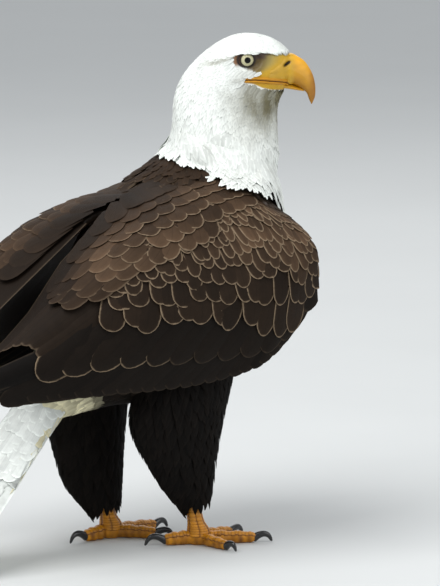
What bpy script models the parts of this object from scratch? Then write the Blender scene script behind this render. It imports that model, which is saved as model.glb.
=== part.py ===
"""A bald eagle at life size, standing at rest with its head turned to its right and its wings
loosely folded.

The bird faces +X, its left side is +Y and +Z is up. Lengths are metres and angles degrees.
Head, neck and trunk are one sweep of oval rings parted at flat gaps. Each wing is a shell
between a curved outer face and the same face set inwards. Feet stand on flats at one level.
"""

import math

import bpy
import bmesh
import numpy as np
from mathutils import Matrix, Vector

GAP = 0.0003  # clearance between neighbouring solids
GROWTH = 0.0012  # how far a cutter stands outside the piece it copies
RING_SIDES = 26
SIDES = {"right": -1, "left": 1}  # sign of y for each side of the bird

# ---- head, neck and trunk ----------------------------------------------------------------
HEAD_TURN = -38.0  # the head looks this far round from +X, to the bird's right
NECK_FOOT = np.array([0.118, 0.0])  # x and y of the axis that the neck turns about
SQUARENESS = 2.25  # exponent of the oval rings; 2 is an ellipse

# height, reach to the nape, reach to the face, half width, narrowing towards the face
HEAD_RINGS = [
    (0.6390, 0.013, 0.038, 0.010, 0.00),
    (0.6350, -0.001, 0.056, 0.019, 0.05),
    (0.6266, -0.013, 0.071, 0.0265, 0.10),
    (0.6148, -0.032, 0.0795, 0.0325, 0.20),
    (0.6020, -0.047, 0.0790, 0.0350, 0.28),
    (0.5874, -0.058, 0.0765, 0.0360, 0.30),
    (0.5730, -0.064, 0.0740, 0.0375, 0.25),
    (0.5624, -0.068, 0.0700, 0.0400, 0.18),
    (0.5509, -0.071, 0.0640, 0.0435, 0.08),
    (0.5345, -0.0675, 0.0620, 0.0480, 0.00),
    (0.5150, -0.070, 0.0630, 0.0535, 0.00),
    (0.4980, -0.0715, 0.0640, 0.0600, 0.00),
]
HEAD_LOWEST_RING = 8  # the head ends at this row of HEAD_RINGS

# centre x, centre z, turn, pitch, reach to the breast, reach to the back, half width
TRUNK_RINGS = [
    (0.1100, 0.4800, -24.0, 6.0, 0.0660, 0.073, 0.070),
    (0.1020, 0.4500, -8.0, 18.0, 0.0780, 0.090, 0.083),
    (0.0800, 0.4080, 0.0, 33.0, 0.1080, 0.104, 0.116),
    (0.0450, 0.3700, 0.0, 42.0, 0.1260, 0.112, 0.132),
    (0.0050, 0.3350, 0.0, 48.0, 0.1300, 0.110, 0.130),
    (-0.0400, 0.2980, 0.0, 50.0, 0.1170, 0.100, 0.114),
    (-0.0850, 0.2620, 0.0, 52.0, 0.0930, 0.080, 0.090),
    (-0.1280, 0.2350, 0.0, 53.0, 0.0620, 0.054, 0.062),
    (-0.1680, 0.2080, 0.0, 53.0, 0.0360, 0.032, 0.040),
]
EYE_CENTRE = (0.0228, 0.0190, 0.6095)  # ahead of the neck's axis, out to the side, height
EYE_RADIUS = 0.0115
ORBIT_CENTRE = (0.0237, 0.0355, 0.6090)
ORBIT_RADII = (0.0150, 0.0105, 0.0100)

# ---- bill: how far ahead of the neck's axis and how high its ridge is, the same of its edge,
# ---- and its half width there, from the root inside the head to the tip of the hook
UPPER_BILL = [
    (0.0560, 0.6045, 0.0500, 0.5765, 0.0150),
    (0.0700, 0.6115, 0.0640, 0.5743, 0.0160),
    (0.0805, 0.6137, 0.0760, 0.5723, 0.0152),
    (0.0890, 0.6097, 0.0840, 0.5703, 0.0135),
    (0.0965, 0.6043, 0.0905, 0.5687, 0.0115),
    (0.1025, 0.5960, 0.0960, 0.5665, 0.0095),
    (0.1070, 0.5870, 0.0990, 0.5637, 0.0075),
    (0.1098, 0.5765, 0.1006, 0.5605, 0.0056),
    (0.1106, 0.5665, 0.1016, 0.5575, 0.0042),
    (0.1098, 0.5580, 0.1032, 0.5535, 0.0026),
    (0.1066, 0.5500, 0.1054, 0.5490, 0.0008),
]
# the same ahead of the axis for ridge and edge: ahead, upper height, lower height, half width
LOWER_BILL = [
    (0.0480, 0.5760, 0.5695, 0.0120),
    (0.0620, 0.5738, 0.5678, 0.0130),
    (0.0760, 0.5712, 0.5666, 0.0112),
    (0.0880, 0.5688, 0.5652, 0.0082),
    (0.0960, 0.5670, 0.5648, 0.0045),
]

# ---- folded wing: rails from the wrist (first) to the feather tips (last), y outwards ------
WING_RAILS = [
    # along the back's middle line
    [(0.088, 0.040, 0.468), (0.080, 0.036, 0.472), (0.045, 0.027, 0.474), (-0.018, 0.014, 0.461), (-0.084, 0.011, 0.4385),
     (-0.150, 0.012, 0.389), (-0.216, 0.025, 0.325), (-0.310, 0.030, 0.262), (-0.404, 0.033, 0.223)],
    # along the shoulder
    [(0.104, 0.092, 0.426), (0.110, 0.100, 0.436), (0.058, 0.112, 0.449), (-0.012, 0.116, 0.438), (-0.075, 0.117, 0.420),
     (-0.142, 0.104, 0.392), (-0.216, 0.082, 0.333), (-0.316, 0.053, 0.259), (-0.407, 0.035, 0.220)],
    # along the widest part
    [(0.122, 0.126, 0.378), (0.134, 0.156, 0.390), (0.076, 0.178, 0.366), (-0.002, 0.172, 0.346), (-0.074, 0.160, 0.330),
     (-0.150, 0.139, 0.308), (-0.228, 0.103, 0.276), (-0.324, 0.062, 0.239), (-0.409, 0.033, 0.214)],
    # along the lower edge
    [(0.128, 0.140, 0.330), (0.135, 0.165, 0.327), (0.070, 0.160, 0.252), (0.010, 0.143, 0.228), (-0.076, 0.130, 0.221),
     (-0.160, 0.113, 0.222), (-0.244, 0.080, 0.220), (-0.330, 0.048, 0.213), (-0.410, 0.029, 0.207)],
]
# how much higher than the right wing the left one rides, from its wrist to its tips
LEFT_RAISES = (0.0, -0.001, -0.009, -0.012, -0.004, 0.006, 0.026, 0.014, 0.0)
RAISED_RAILS = (0.6, 1.0, 0.5, 0.0)  # share of that for each rail
WING_STEPS = 20
WING_ROWS = 8
WING_EDGE = 0.004  # thickness at the edges and tips
WING_DEPTH = 0.034  # extra thickness near the wrist
WING_SHELTER = (0.06, 0.025)  # how far behind and inside its rim the line is that a wing closes round

# ---- tail --------------------------------------------------------------------------------
TAIL_ROOT = np.array([-0.176, 0.0, 0.206])
TAIL_DROP = 42.0  # below level
TAIL_LENGTH = 0.265
TAIL_HALF_WIDTHS = (0.030, 0.078)  # at the root and at the tips
TAIL_THICKNESS = (0.052, 0.005)
TAIL_FEATHERS = 12
TAIL_ROUNDING = 0.020  # how much shorter the outer feathers end
TAIL_SAG = 0.014  # how far the outer feathers hang below the middle ones

# ---- legs: height, front, rear, middle y, half width of the feathered part ----------------
THIGH_RINGS = {
    "right": [
        (0.262, 0.076, -0.050, 0.056, 0.030),
        (0.235, 0.077, -0.064, 0.059, 0.038),
        (0.205, 0.067, -0.073, 0.060, 0.041),
        (0.175, 0.060, -0.080, 0.060, 0.037),
        (0.145, 0.055, -0.072, 0.058, 0.032),
        (0.110, 0.051, -0.048, 0.055, 0.027),
        (0.080, 0.049, -0.026, 0.053, 0.022),
        (0.056, 0.046, -0.004, 0.051, 0.017),
    ],
    "left": [
        (0.262, 0.022, -0.078, 0.056, 0.030),
        (0.235, 0.012, -0.100, 0.059, 0.038),
        (0.205, 0.003, -0.113, 0.060, 0.041),
        (0.175, -0.004, -0.120, 0.060, 0.037),
        (0.145, -0.009, -0.118, 0.058, 0.032),
        (0.110, -0.012, -0.110, 0.056, 0.027),
        (0.075, -0.015, -0.098, 0.054, 0.022),
        (0.044, -0.018, -0.072, 0.052, 0.017),
    ],
}
FOOT_CENTRES = {"right": (0.030, -0.051), "left": (-0.032, 0.051)}
TARSUS_TOP = (-0.014, 0.084)  # behind the foot's centre, height, inside the feathers
TARSUS_RADIUS = 0.0092
PAD_RADIUS = 0.0150
PAD_HEIGHT = 0.021

# direction from +X, length without the claw, radius at the root, claw length
TOES = {
    "right": {
        "inner": (8.0, 0.058, 0.0090, 0.033),
        "middle": (-32.0, 0.072, 0.0088, 0.031),
        "outer": (-88.0, 0.056, 0.0080, 0.026),
        "hind": (158.0, 0.044, 0.0095, 0.037),
    },
    "left": {
        "inner": (-46.0, 0.058, 0.0090, 0.033),
        "middle": (2.0, 0.072, 0.0088, 0.031),
        "outer": (46.0, 0.056, 0.0080, 0.026),
        "hind": (186.0, 0.044, 0.0095, 0.037),
    },
}
CLAW_BASE = 0.0052
CLAW_TIP_HEIGHT = 0.0012


# ---- small helpers -----------------------------------------------------------------------
def unit(vector):
    """The vector at length one, along its last axis."""
    return vector / np.linalg.norm(vector, axis=-1, keepdims=True)


def through(rows, at):
    """A smooth curve through the rows, read where at runs from 0 (first row) to 1 (last row)."""
    rows = np.asarray(rows, float)
    place = np.clip(np.asarray(at, float), 0, 1) * (len(rows) - 1)
    first = np.clip(place.astype(int), 0, len(rows) - 2)
    slopes = np.gradient(rows, axis=0)
    step = (place - first).reshape(first.shape + (1,) * (rows.ndim - 1))
    square, cube = step**2, step**3
    return ((2 * cube - 3 * square + 1) * rows[first] + (cube - 2 * square + step) * slopes[first]
            + (3 * square - 2 * cube) * rows[first + 1] + (cube - square) * slopes[first + 1])


def ahead(distance, height, side=0.0):
    """A point that lies so far ahead of the neck's axis, as the head looks, and out to the left."""
    turn = math.radians(HEAD_TURN)
    forward = np.array([math.cos(turn), math.sin(turn)])
    left = np.array([-math.sin(turn), math.cos(turn)])
    x, y = NECK_FOOT + distance * forward + side * left
    return np.array([x, y, height])


def ring_faces(count, sides, first=0):
    """Quads that join rings of vertices laid one after the other."""
    faces = []
    for ring in range(count - 1):
        for side in range(sides):
            here = first + ring * sides
            after = (side + 1) % sides
            faces.append((here + side, here + after, here + sides + after, here + sides + side))
    return faces


def look(name, colour, roughness):
    """A plain Principled material."""
    material = bpy.data.materials.get(name)
    if material is None:
        material = bpy.data.materials.new(name)
        material.use_nodes = True
        shader = material.node_tree.nodes["Principled BSDF"]
        shader.inputs["Base Color"].default_value = (*colour, 1)
        shader.inputs["Roughness"].default_value = roughness
    return material


def solid(name, points, faces, material):
    """One closed object with its faces turned out."""
    mesh = bpy.data.meshes.new(name)
    mesh.from_pydata([tuple(point) for point in points], [], faces)
    shape = bmesh.new()
    shape.from_mesh(mesh)
    if shape.calc_volume(signed=True) < 0:
        bmesh.ops.reverse_faces(shape, faces=shape.faces)
    bmesh.ops.triangulate(shape, faces=shape.faces)  # so that a cutter folds just as its piece does
    shape.to_mesh(mesh)
    shape.free()
    mesh.materials.append(material)
    mesh.shade_smooth()
    mesh.set_sharp_from_angle(angle=math.radians(50))
    piece = bpy.data.objects.new(name, mesh)
    bpy.context.scene.collection.objects.link(piece)
    return piece


def loft(name, rings, material):
    """A closed skin over rings of equal length, with a flat face over each end."""
    count, sides = rings.shape[:2]
    caps = [tuple(range(sides)), tuple(range((count - 1) * sides, count * sides))]
    faces = ring_faces(count, sides) + [caps[0][::-1], caps[1]]
    return solid(name, rings.reshape(-1, 3), faces, material)


def slab(name, upper, lower, material):
    """A closed shell between two grids of points, joined round their edges."""
    rows, columns = upper.shape[:2]
    size = rows * columns
    faces = []
    for row in range(rows - 1):
        for column in range(columns - 1):
            corner = row * columns + column
            quad = (corner, corner + 1, corner + columns + 1, corner + columns)
            faces.append(quad)
            faces.append(tuple(size + index for index in reversed(quad)))
    rim = [column for column in range(columns - 1)]
    rim += [row * columns + columns - 1 for row in range(rows - 1)]
    rim += [(rows - 1) * columns + column for column in range(columns - 1, 0, -1)]
    rim += [row * columns for row in range(rows - 1, 0, -1)]
    for here, after in zip(rim, rim[1:] + rim[:1]):
        faces.append((after, here, size + here, size + after))
    return solid(name, np.concatenate([upper.reshape(-1, 3), lower.reshape(-1, 3)]), faces, material)


def grown(piece):
    """A hidden cutter: a copy of the piece that stands out from it by GROWTH."""
    mesh = piece.data.copy()
    normals = [Vector(normal.vector) for normal in mesh.vertex_normals]
    for vertex, normal in zip(mesh.vertices, normals):
        vertex.co += normal * GROWTH
    cutter = bpy.data.objects.new(piece.name + "_cutter", mesh)
    bpy.context.scene.collection.objects.link(cutter)
    cutter.hide_render = True
    cutter.display_type = "WIRE"
    return cutter


def cut(piece, *cutters):
    """Takes the cutters away from the piece."""
    for cutter in cutters:
        boolean = piece.modifiers.new("cut_by_" + cutter.name, "BOOLEAN")
        boolean.operation = "DIFFERENCE"
        boolean.solver = "EXACT"
        boolean.object = cutter


# ---- head, neck and trunk ----------------------------------------------------------------
def body_rows():
    """Head, neck and trunk rings as rows: centre, turn, pitch, front, back, half width, narrowing."""
    rows = []
    for height, nape, face, width, narrowing in HEAD_RINGS:
        centre = ahead((nape + face) / 2, height)
        reach = (face - nape) / 2
        rows.append((*centre, HEAD_TURN, 0, reach, reach, width, narrowing))
    for x, z, turn, pitch, front, back, width in TRUNK_RINGS:
        rows.append((x, 0, z, turn, pitch, front, back, width, 0))
    return np.array(rows)


def body_ring(row, sides=RING_SIDES):
    """Points round one oval ring: the breast side first, then to the bird's left."""
    x, y, z, turn, pitch, front, back, width, narrowing = row
    turn, pitch = math.radians(turn), math.radians(pitch)
    forward = np.array([math.cos(turn) * math.cos(pitch), math.sin(turn) * math.cos(pitch),
                        -math.sin(pitch)])
    left = np.array([-math.sin(turn), math.cos(turn), 0])
    angle = np.arange(sides) * 2 * math.pi / sides
    cosine, sine = np.cos(angle), np.sin(angle)
    along = np.sign(cosine) * np.abs(cosine) ** (2 / SQUARENESS)
    across = np.sign(sine) * np.abs(sine) ** (2 / SQUARENESS)
    reach = np.where(cosine > 0, front, back)
    points = np.outer(along * reach, forward)
    points += np.outer(across * width * (1 - narrowing * along), left)
    return points + np.array([x, y, z])


def body_part(name, first, last, steps, material):
    """The sweep between two rows, drawn in from both ends by half a gap."""
    rows = body_rows()
    places = np.linspace(first, last, steps + 1) / (len(rows) - 1)
    rings = np.array([body_ring(row) for row in through(rows, places)])
    for end, inner in ((0, 1), (-1, -2)):
        step = rings[inner].mean(0) - rings[end].mean(0)
        rings[end] += step / np.linalg.norm(step) * GAP
    return loft(name, rings, material)


def eye(side):
    """An eyeball."""
    forward, out, height = EYE_CENTRE
    mesh = bpy.data.meshes.new("eye_" + side)
    shape = bmesh.new()
    bmesh.ops.create_uvsphere(shape, u_segments=12, v_segments=8, radius=EYE_RADIUS)
    centre = ahead(forward, height, out * SIDES[side])
    bmesh.ops.translate(shape, verts=shape.verts, vec=Vector(centre))
    shape.to_mesh(mesh)
    shape.free()
    mesh.materials.append(look("eye", (0.75, 0.70, 0.35), 0.15))
    mesh.shade_smooth()
    piece = bpy.data.objects.new("eye_" + side, mesh)
    bpy.context.scene.collection.objects.link(piece)
    return piece


def orbit(side):
    """A hidden cutter for the hollow below the brow that bares the eye."""
    forward, out, height = ORBIT_CENTRE
    mesh = bpy.data.meshes.new("orbit_" + side)
    shape = bmesh.new()
    bmesh.ops.create_uvsphere(shape, u_segments=14, v_segments=8, radius=1)
    turn = Matrix.Rotation(math.radians(HEAD_TURN), 4, "Z") @ Matrix.Diagonal((*ORBIT_RADII, 1))
    bmesh.ops.transform(shape, matrix=turn, verts=shape.verts)
    bmesh.ops.translate(shape, verts=shape.verts, vec=Vector(ahead(forward, height, out * SIDES[side])))
    shape.to_mesh(mesh)
    shape.free()
    cutter = bpy.data.objects.new("orbit_" + side, mesh)
    bpy.context.scene.collection.objects.link(cutter)
    cutter.hide_render = True
    cutter.display_type = "WIRE"
    return cutter


def bill_ring(ridge, edge, half_width, sides=14):
    """An oval across the bill from its ridge to its edge, narrower towards the ridge."""
    angle = np.arange(sides) * 2 * math.pi / sides
    left = ahead(0, 0, 1) - ahead(0, 0, 0)
    width = half_width * np.cos(angle) * (1 - 0.28 * np.clip(np.sin(angle), 0, 1))
    return (ridge + edge) / 2 + np.outer(np.sin(angle), (ridge - edge) / 2) + np.outer(width, left)


def bill(name, rows, sides):
    """A half of the bill, lofted through ovals that stand across it."""
    table = through(rows, np.linspace(0, 1, len(rows) + 5))
    rings = [bill_ring(ahead(row[0], row[1]), ahead(row[2], row[3]), row[4], sides) for row in table]
    return loft(name, np.array(rings), look("bill", (0.78, 0.42, 0.03), 0.35))


# ---- wings and tail ----------------------------------------------------------------------
def wing(side):
    """A folded wing: its outer face through the rails, its inner face set in towards the flank."""
    along = np.linspace(0, 1, WING_STEPS + 1)
    down = np.linspace(0, 1, WING_ROWS + 1)
    rails = through(np.swapaxes(np.array(WING_RAILS), 0, 1), along)
    if side == "left":
        rails[..., 2] += through(LEFT_RAISES, along)[:, None] * np.array(RAISED_RAILS)
    outer = np.array([through(station, down) for station in rails])
    nose = np.sqrt(np.clip(along / 0.12, 0, 1))[:, None]
    belly = np.sqrt(np.sin(math.pi * down))[None, :]
    thickness = WING_EDGE + WING_DEPTH * (1 - along[:, None]) ** 1.4 * nose * belly
    shift = np.zeros((len(along), 1, 3))
    shift[:, 0, 0] = WING_SHELTER[0] * (1 - along) ** 2
    shift[:, 0, 1] = WING_SHELTER[1]
    heart = (rails[:, :1] + rails[:, -1:]) / 2 - shift
    inner = outer - unit(outer - heart) * thickness[..., None]
    mirror = np.array([1, SIDES[side], 1])
    return slab("wing_" + side, outer * mirror, inner * mirror, look("wing", (0.055, 0.035, 0.025), 0.7))


def tail():
    """Slightly spread tail of twelve feathers with its coverts, thick at the root."""
    drop = math.radians(TAIL_DROP)
    back = np.array([-math.cos(drop), 0, -math.sin(drop)])
    up = np.array([-math.sin(drop), 0, math.cos(drop)])
    across = np.linspace(-1, 1, 2 * TAIL_FEATHERS + 1)[None, :, None]
    along = np.linspace(0, 1, 7)[:, None, None]
    notch = 0.007 * (1 - np.abs(np.sin(math.pi * TAIL_FEATHERS / 2 * (across + 1)))) ** 1.5
    length = TAIL_LENGTH - TAIL_ROUNDING * across**2 - notch
    half_width = TAIL_HALF_WIDTHS[0] + (TAIL_HALF_WIDTHS[1] - TAIL_HALF_WIDTHS[0]) * along**0.8
    middle = TAIL_ROOT + back * along * length
    middle = middle + np.array([0, 1, 0]) * across * half_width - up * TAIL_SAG * across**2
    round_root = np.sqrt(np.clip(1 - across**2, 0, 1))
    coverts = (TAIL_THICKNESS[0] - TAIL_THICKNESS[1]) * (1 - along) ** 2.2 * round_root
    half = (TAIL_THICKNESS[1] + coverts) / 2
    return slab("tail", middle + up * half, middle - up * half, look("tail", (0.86, 0.86, 0.80), 0.7))


# ---- legs --------------------------------------------------------------------------------
def thigh(side):
    """The feathered leg from the flank down to the tarsus."""
    table = through(THIGH_RINGS[side], np.linspace(0, 1, 11))
    angle = np.arange(18) * 2 * math.pi / 18
    rings = []
    for height, front, rear, middle, width in table:
        x = (front + rear) / 2 + (front - rear) / 2 * np.cos(angle)
        y = (middle + width * np.sin(angle) * (1 + 0.15 * np.cos(angle))) * SIDES[side]
        rings.append(np.column_stack([x, y, np.full(18, height)]))
    return loft("thigh_" + side, np.array(rings), look("trousers", (0.02, 0.016, 0.014), 0.8))


def tarsus(side):
    """Bare shank that widens into the ball of the foot, with a flat sole."""
    x, y = FOOT_CENTRES[side]
    behind, top = TARSUS_TOP
    rows = [
        (x + behind, y, top, TARSUS_RADIUS),
        (x + behind * 0.65, y, top * 0.66, TARSUS_RADIUS),
        (x + behind * 0.30, y, PAD_HEIGHT * 1.5, TARSUS_RADIUS * 1.1),
        (x, y, PAD_HEIGHT * 0.9, PAD_RADIUS * 0.92),
        (x, y, PAD_HEIGHT * 0.35, PAD_RADIUS),
        (x, y, 0, PAD_RADIUS * 0.8),
    ]
    angle = np.arange(12) * 2 * math.pi / 12
    circle = np.column_stack([np.cos(angle), np.sin(angle), np.zeros(12)])
    rings = [np.array(row[:3]) + row[3] * circle for row in rows]
    return loft("tarsus_" + side, np.array(rings), look("foot", (0.62, 0.33, 0.03), 0.5))


def toe_line(side, name):
    """Start, direction and end of a toe on the floor."""
    degrees, length, radius, claw = TOES[side][name]
    direction = np.array([math.cos(math.radians(degrees)), math.sin(math.radians(degrees)), 0])
    start = np.array([*FOOT_CENTRES[side], 0]) + direction * PAD_RADIUS * 0.55
    return start, direction, np.array([*FOOT_CENTRES[side], 0]) + direction * length


def toe(side, name):
    """A padded toe, flat below, that ends in an upright face for its claw."""
    start, direction, end = toe_line(side, name)
    radius = TOES[side][name][2]
    left = np.array([-direction[1], direction[0], 0])
    angle = (np.arange(10) + 0.5) * 2 * math.pi / 10
    rings = []
    for place in np.linspace(0, 1, 7):
        pads = 1 + 0.09 * math.cos(place * 6 * math.pi)
        size = radius * (1 - 0.20 * place) * pads
        if place == 1:
            size = CLAW_BASE * 1.25
        height = 0.86 * radius * (1.05 - 0.18 * place)
        z = np.maximum(height + size * 1.02 * np.sin(angle), 0)
        rings.append(start + (end - start) * place + np.outer(size * np.cos(angle), left)
                     + np.outer(z, [0, 0, 1]))
    return loft(f"toe_{side}_{name}", np.array(rings), look("foot", (0.62, 0.33, 0.03), 0.5))


def claw(side, name):
    """A talon that curves from the toe's end down to just above the floor."""
    start, direction, end = toe_line(side, name)
    radius, length = TOES[side][name][2:]
    left = np.array([-direction[1], direction[0], 0])
    angle = np.arange(8) * 2 * math.pi / 8
    root = 0.86 * radius * 0.87
    rings = []
    for place in np.linspace(0, 1, 6):
        bend = math.radians(-14 + 94 * place)
        forward = 0.70 * length * math.sin(math.pi / 2 * place)
        rise = 0.16 * length * math.sin(math.pi * min(1, place * 1.2))
        height = root + rise - (root - CLAW_TIP_HEIGHT) * place**2.2
        size = CLAW_BASE * (1 - place) ** 0.75 + 0.0005
        up = math.sin(bend) * direction + math.cos(bend) * np.array([0, 0, 1])
        if place == 0:
            up = np.array([0, 0, 1])
        middle = end + direction * (GAP + forward) + np.array([0, 0, height])
        rings.append(middle + np.outer(0.85 * size * np.cos(angle), left)
                     + np.outer(size * np.sin(angle), up))
    rings = np.array(rings)
    rings[..., 2] = np.maximum(rings[..., 2], CLAW_TIP_HEIGHT * 0.4)
    return loft(f"claw_{side}_{name}", rings, look("claw", (0.01, 0.01, 0.01), 0.25))


# ---- the whole bird ----------------------------------------------------------------------
def legs():
    """Both legs, each cut where a lower piece enters the one above it."""
    thighs = []
    for side in SIDES:
        feathered = thigh(side)
        shank = tarsus(side)
        shank_cutter = grown(shank)
        cut(feathered, shank_cutter)
        toes = {name: toe(side, name) for name in TOES[side]}
        middle_cutter = grown(toes["middle"])
        for name, piece in toes.items():
            if name in ("inner", "outer"):
                cut(piece, middle_cutter)
            cut(piece, shank_cutter)
            claw(side, name)
        thighs.append(feathered)
    return thighs


def head():
    """Head with sockets for the eyes and the root of the bill."""
    skull = body_part("head", 0, HEAD_LOWEST_RING, 9, look("white", (0.86, 0.87, 0.85), 0.7))
    cut(skull, orbit("right"), orbit("left"))
    for side in SIDES:
        ball = eye(side)
        cut(skull, grown(ball))
    upper = bill("bill_upper", UPPER_BILL, 14)
    lower = bill("bill_lower", [(d, top, d, foot, w) for d, top, foot, w in LOWER_BILL], 10)
    upper_cutter = grown(upper)
    cut(lower, upper_cutter)
    cut(skull, upper_cutter, grown(lower))


def place_on_origin():
    """Moves everything so that the origin is the middle of the bird's box, on the floor."""
    bpy.context.view_layer.update()
    graph = bpy.context.evaluated_depsgraph_get()
    corners = []
    for piece in bpy.context.scene.objects:
        if piece.type == "MESH" and not piece.hide_render:
            corners += [tuple(vertex.co) for vertex in piece.evaluated_get(graph).data.vertices]
    corners = np.array(corners)
    middle = (corners.min(0) + corners.max(0)) / 2
    stand = bpy.data.objects.new("stand_point", None)
    bpy.context.scene.collection.objects.link(stand)
    stand.location = (-middle[0], -middle[1], -corners[:, 2].min())
    for piece in bpy.context.scene.objects:
        if piece.type == "MESH":
            piece.parent = stand


def main():
    for piece in list(bpy.data.objects):
        bpy.data.objects.remove(piece, do_unlink=True)
    last = len(HEAD_RINGS)
    head()
    body_part("neck", HEAD_LOWEST_RING, last - 1, 4, look("white", (0.86, 0.87, 0.85), 0.7))
    rows = last + len(TRUNK_RINGS) - 1
    trunk = body_part("trunk", last - 1, rows, 13, look("brown", (0.06, 0.04, 0.03), 0.75))
    wing_cutters = [grown(wing(side)) for side in SIDES]
    thighs = legs()
    thigh_cutters = [grown(piece) for piece in thighs]
    rear = tail()
    cut(trunk, *wing_cutters, *thigh_cutters, grown(rear))
    place_on_origin()


main()
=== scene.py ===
"""A life-size bald eagle at rest, head turned to its right and wings loosely folded.

One skin carries the whole bird, and over it lie its feathers as thin closed vanes, each a curved
leaf with a rounded or pointed end, laid in rows from the bill to the tail. Bill, eyes, scutes and
claws are pieces of their own. Lengths are metres and angles are in degrees unless a name says
otherwise. The bird faces +X, its left is +Y, and shapes are worked out in one layout that is then
moved onto the frame by SHIFT.
"""

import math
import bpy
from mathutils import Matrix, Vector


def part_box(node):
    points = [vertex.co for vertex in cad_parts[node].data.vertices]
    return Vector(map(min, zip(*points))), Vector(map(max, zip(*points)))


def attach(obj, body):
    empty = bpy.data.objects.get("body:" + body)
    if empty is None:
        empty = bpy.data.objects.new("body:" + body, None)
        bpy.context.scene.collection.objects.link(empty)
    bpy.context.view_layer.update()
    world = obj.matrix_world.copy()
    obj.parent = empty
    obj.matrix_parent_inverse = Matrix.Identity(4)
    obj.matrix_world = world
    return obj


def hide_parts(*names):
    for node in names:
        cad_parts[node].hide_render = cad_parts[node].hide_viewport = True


bl_info = {
    "name": "Bald Eagle",
    "version": (1, 0, 0),
    "blender": (4, 5, 0),
    "location": "View3D > Sidebar > Eagle",
    "description": "Plumage, bill, eyes, feet and studio of a still bald eagle",
    "category": "Object",
}

import bpy
import numpy as np
from bpy.props import FloatProperty, FloatVectorProperty, PointerProperty
from mathutils import Vector

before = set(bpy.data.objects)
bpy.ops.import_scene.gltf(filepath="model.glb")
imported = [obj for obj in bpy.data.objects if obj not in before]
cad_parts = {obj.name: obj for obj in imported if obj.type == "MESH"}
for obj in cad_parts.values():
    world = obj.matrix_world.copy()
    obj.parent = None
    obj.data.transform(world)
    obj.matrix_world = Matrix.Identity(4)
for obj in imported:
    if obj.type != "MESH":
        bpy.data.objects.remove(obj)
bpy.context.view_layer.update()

SIDES = {"right": -1, "left": 1}
BODY_CELL = 0.0044  # size of the cells in which trunk, wings and legs are fused
FOOT_CELL = 0.0014  # the same for the feet
TOE_NAMES = ("inner", "middle", "outer", "hind")

# ---- the bird's shape: the same sweeps as its solids
HEAD_TURN = math.radians(-38)  # the head looks this far round to the bird's right
NECK_FOOT = (0.118, 0.0)
SQUARENESS = 2.25  # exponent of the oval rings; 2 is an ellipse
EYE = (0.0228, 0.0190, 0.6095)  # ahead of the neck's axis, out to the side, height
EYE_RADIUS = 0.0115

# crown ahead, crown height, throat ahead, throat height, half width; bill base to neck
FACE_ROWS = [
    (0.0800, 0.6115, 0.0740, 0.5716, 0.0135),
    (0.0745, 0.6195, 0.0730, 0.5674, 0.0185),
    (0.0645, 0.6280, 0.0695, 0.5637, 0.0235),
    (0.0500, 0.6353, 0.0665, 0.5586, 0.0285),
    (0.0330, 0.6390, 0.0645, 0.5530, 0.0325),
    (0.0140, 0.6387, 0.0630, 0.5474, 0.0350),
    (-0.0060, 0.6320, 0.0622, 0.5403, 0.0368),
    (-0.0260, 0.6190, 0.0620, 0.5315, 0.0385),
    (-0.0440, 0.6025, 0.0622, 0.5225, 0.0410),
    (-0.0570, 0.5857, 0.0626, 0.5140, 0.0440),
    (-0.0650, 0.5688, 0.0630, 0.5060, 0.0480),
    (-0.0692, 0.5512, 0.0634, 0.4985, 0.0525),
    (-0.0700, 0.5330, 0.0638, 0.4910, 0.0570),
    (-0.0710, 0.5140, 0.0645, 0.4820, 0.0625),
]
# x, z, turn, pitch, reach to the breast, reach to the back, half width; neck to tail
TRUNK_ROWS = [
    (0.1085, 0.4780, -22, 13, 0.0680, 0.073, 0.071),
    (0.1020, 0.4500, -8, 20, 0.0780, 0.090, 0.084),
    (0.0800, 0.4080, 0, 33, 0.1080, 0.104, 0.116),
    (0.0450, 0.3700, 0, 42, 0.1260, 0.112, 0.132),
    (0.0050, 0.3350, 0, 48, 0.1300, 0.110, 0.130),
    (-0.0400, 0.2980, 0, 50, 0.1170, 0.100, 0.114),
    (-0.0850, 0.2620, 0, 52, 0.0930, 0.080, 0.090),
    (-0.1280, 0.2350, 0, 53, 0.0620, 0.054, 0.062),
    (-0.1680, 0.2080, 0, 53, 0.0360, 0.032, 0.040),
]
LAST_ROW = len(FACE_ROWS) + len(TRUNK_ROWS) - 1
# rails of a folded wing from the wrist to the tips: back's middle line, shoulder, widest, edge
WING_RAILS = [
    [(0.088, 0.040, 0.468), (0.080, 0.036, 0.472), (0.045, 0.027, 0.474), (-0.018, 0.014, 0.461),
     (-0.084, 0.011, 0.4385), (-0.150, 0.012, 0.389), (-0.216, 0.025, 0.325), (-0.310, 0.030, 0.262),
     (-0.404, 0.033, 0.223)],
    [(0.104, 0.092, 0.426), (0.110, 0.100, 0.436), (0.058, 0.112, 0.449), (-0.012, 0.116, 0.438),
     (-0.075, 0.117, 0.420), (-0.142, 0.104, 0.392), (-0.216, 0.082, 0.333), (-0.316, 0.053, 0.259),
     (-0.407, 0.035, 0.220)],
    [(0.122, 0.126, 0.378), (0.134, 0.156, 0.390), (0.076, 0.178, 0.366), (-0.002, 0.172, 0.346),
     (-0.074, 0.160, 0.330), (-0.150, 0.139, 0.308), (-0.228, 0.103, 0.276), (-0.324, 0.062, 0.239),
     (-0.409, 0.033, 0.214)],
    [(0.128, 0.140, 0.330), (0.135, 0.165, 0.327), (0.070, 0.160, 0.252), (0.010, 0.143, 0.228),
     (-0.076, 0.130, 0.221), (-0.160, 0.113, 0.222), (-0.244, 0.080, 0.220), (-0.330, 0.048, 0.213),
     (-0.410, 0.029, 0.207)],
]
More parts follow.
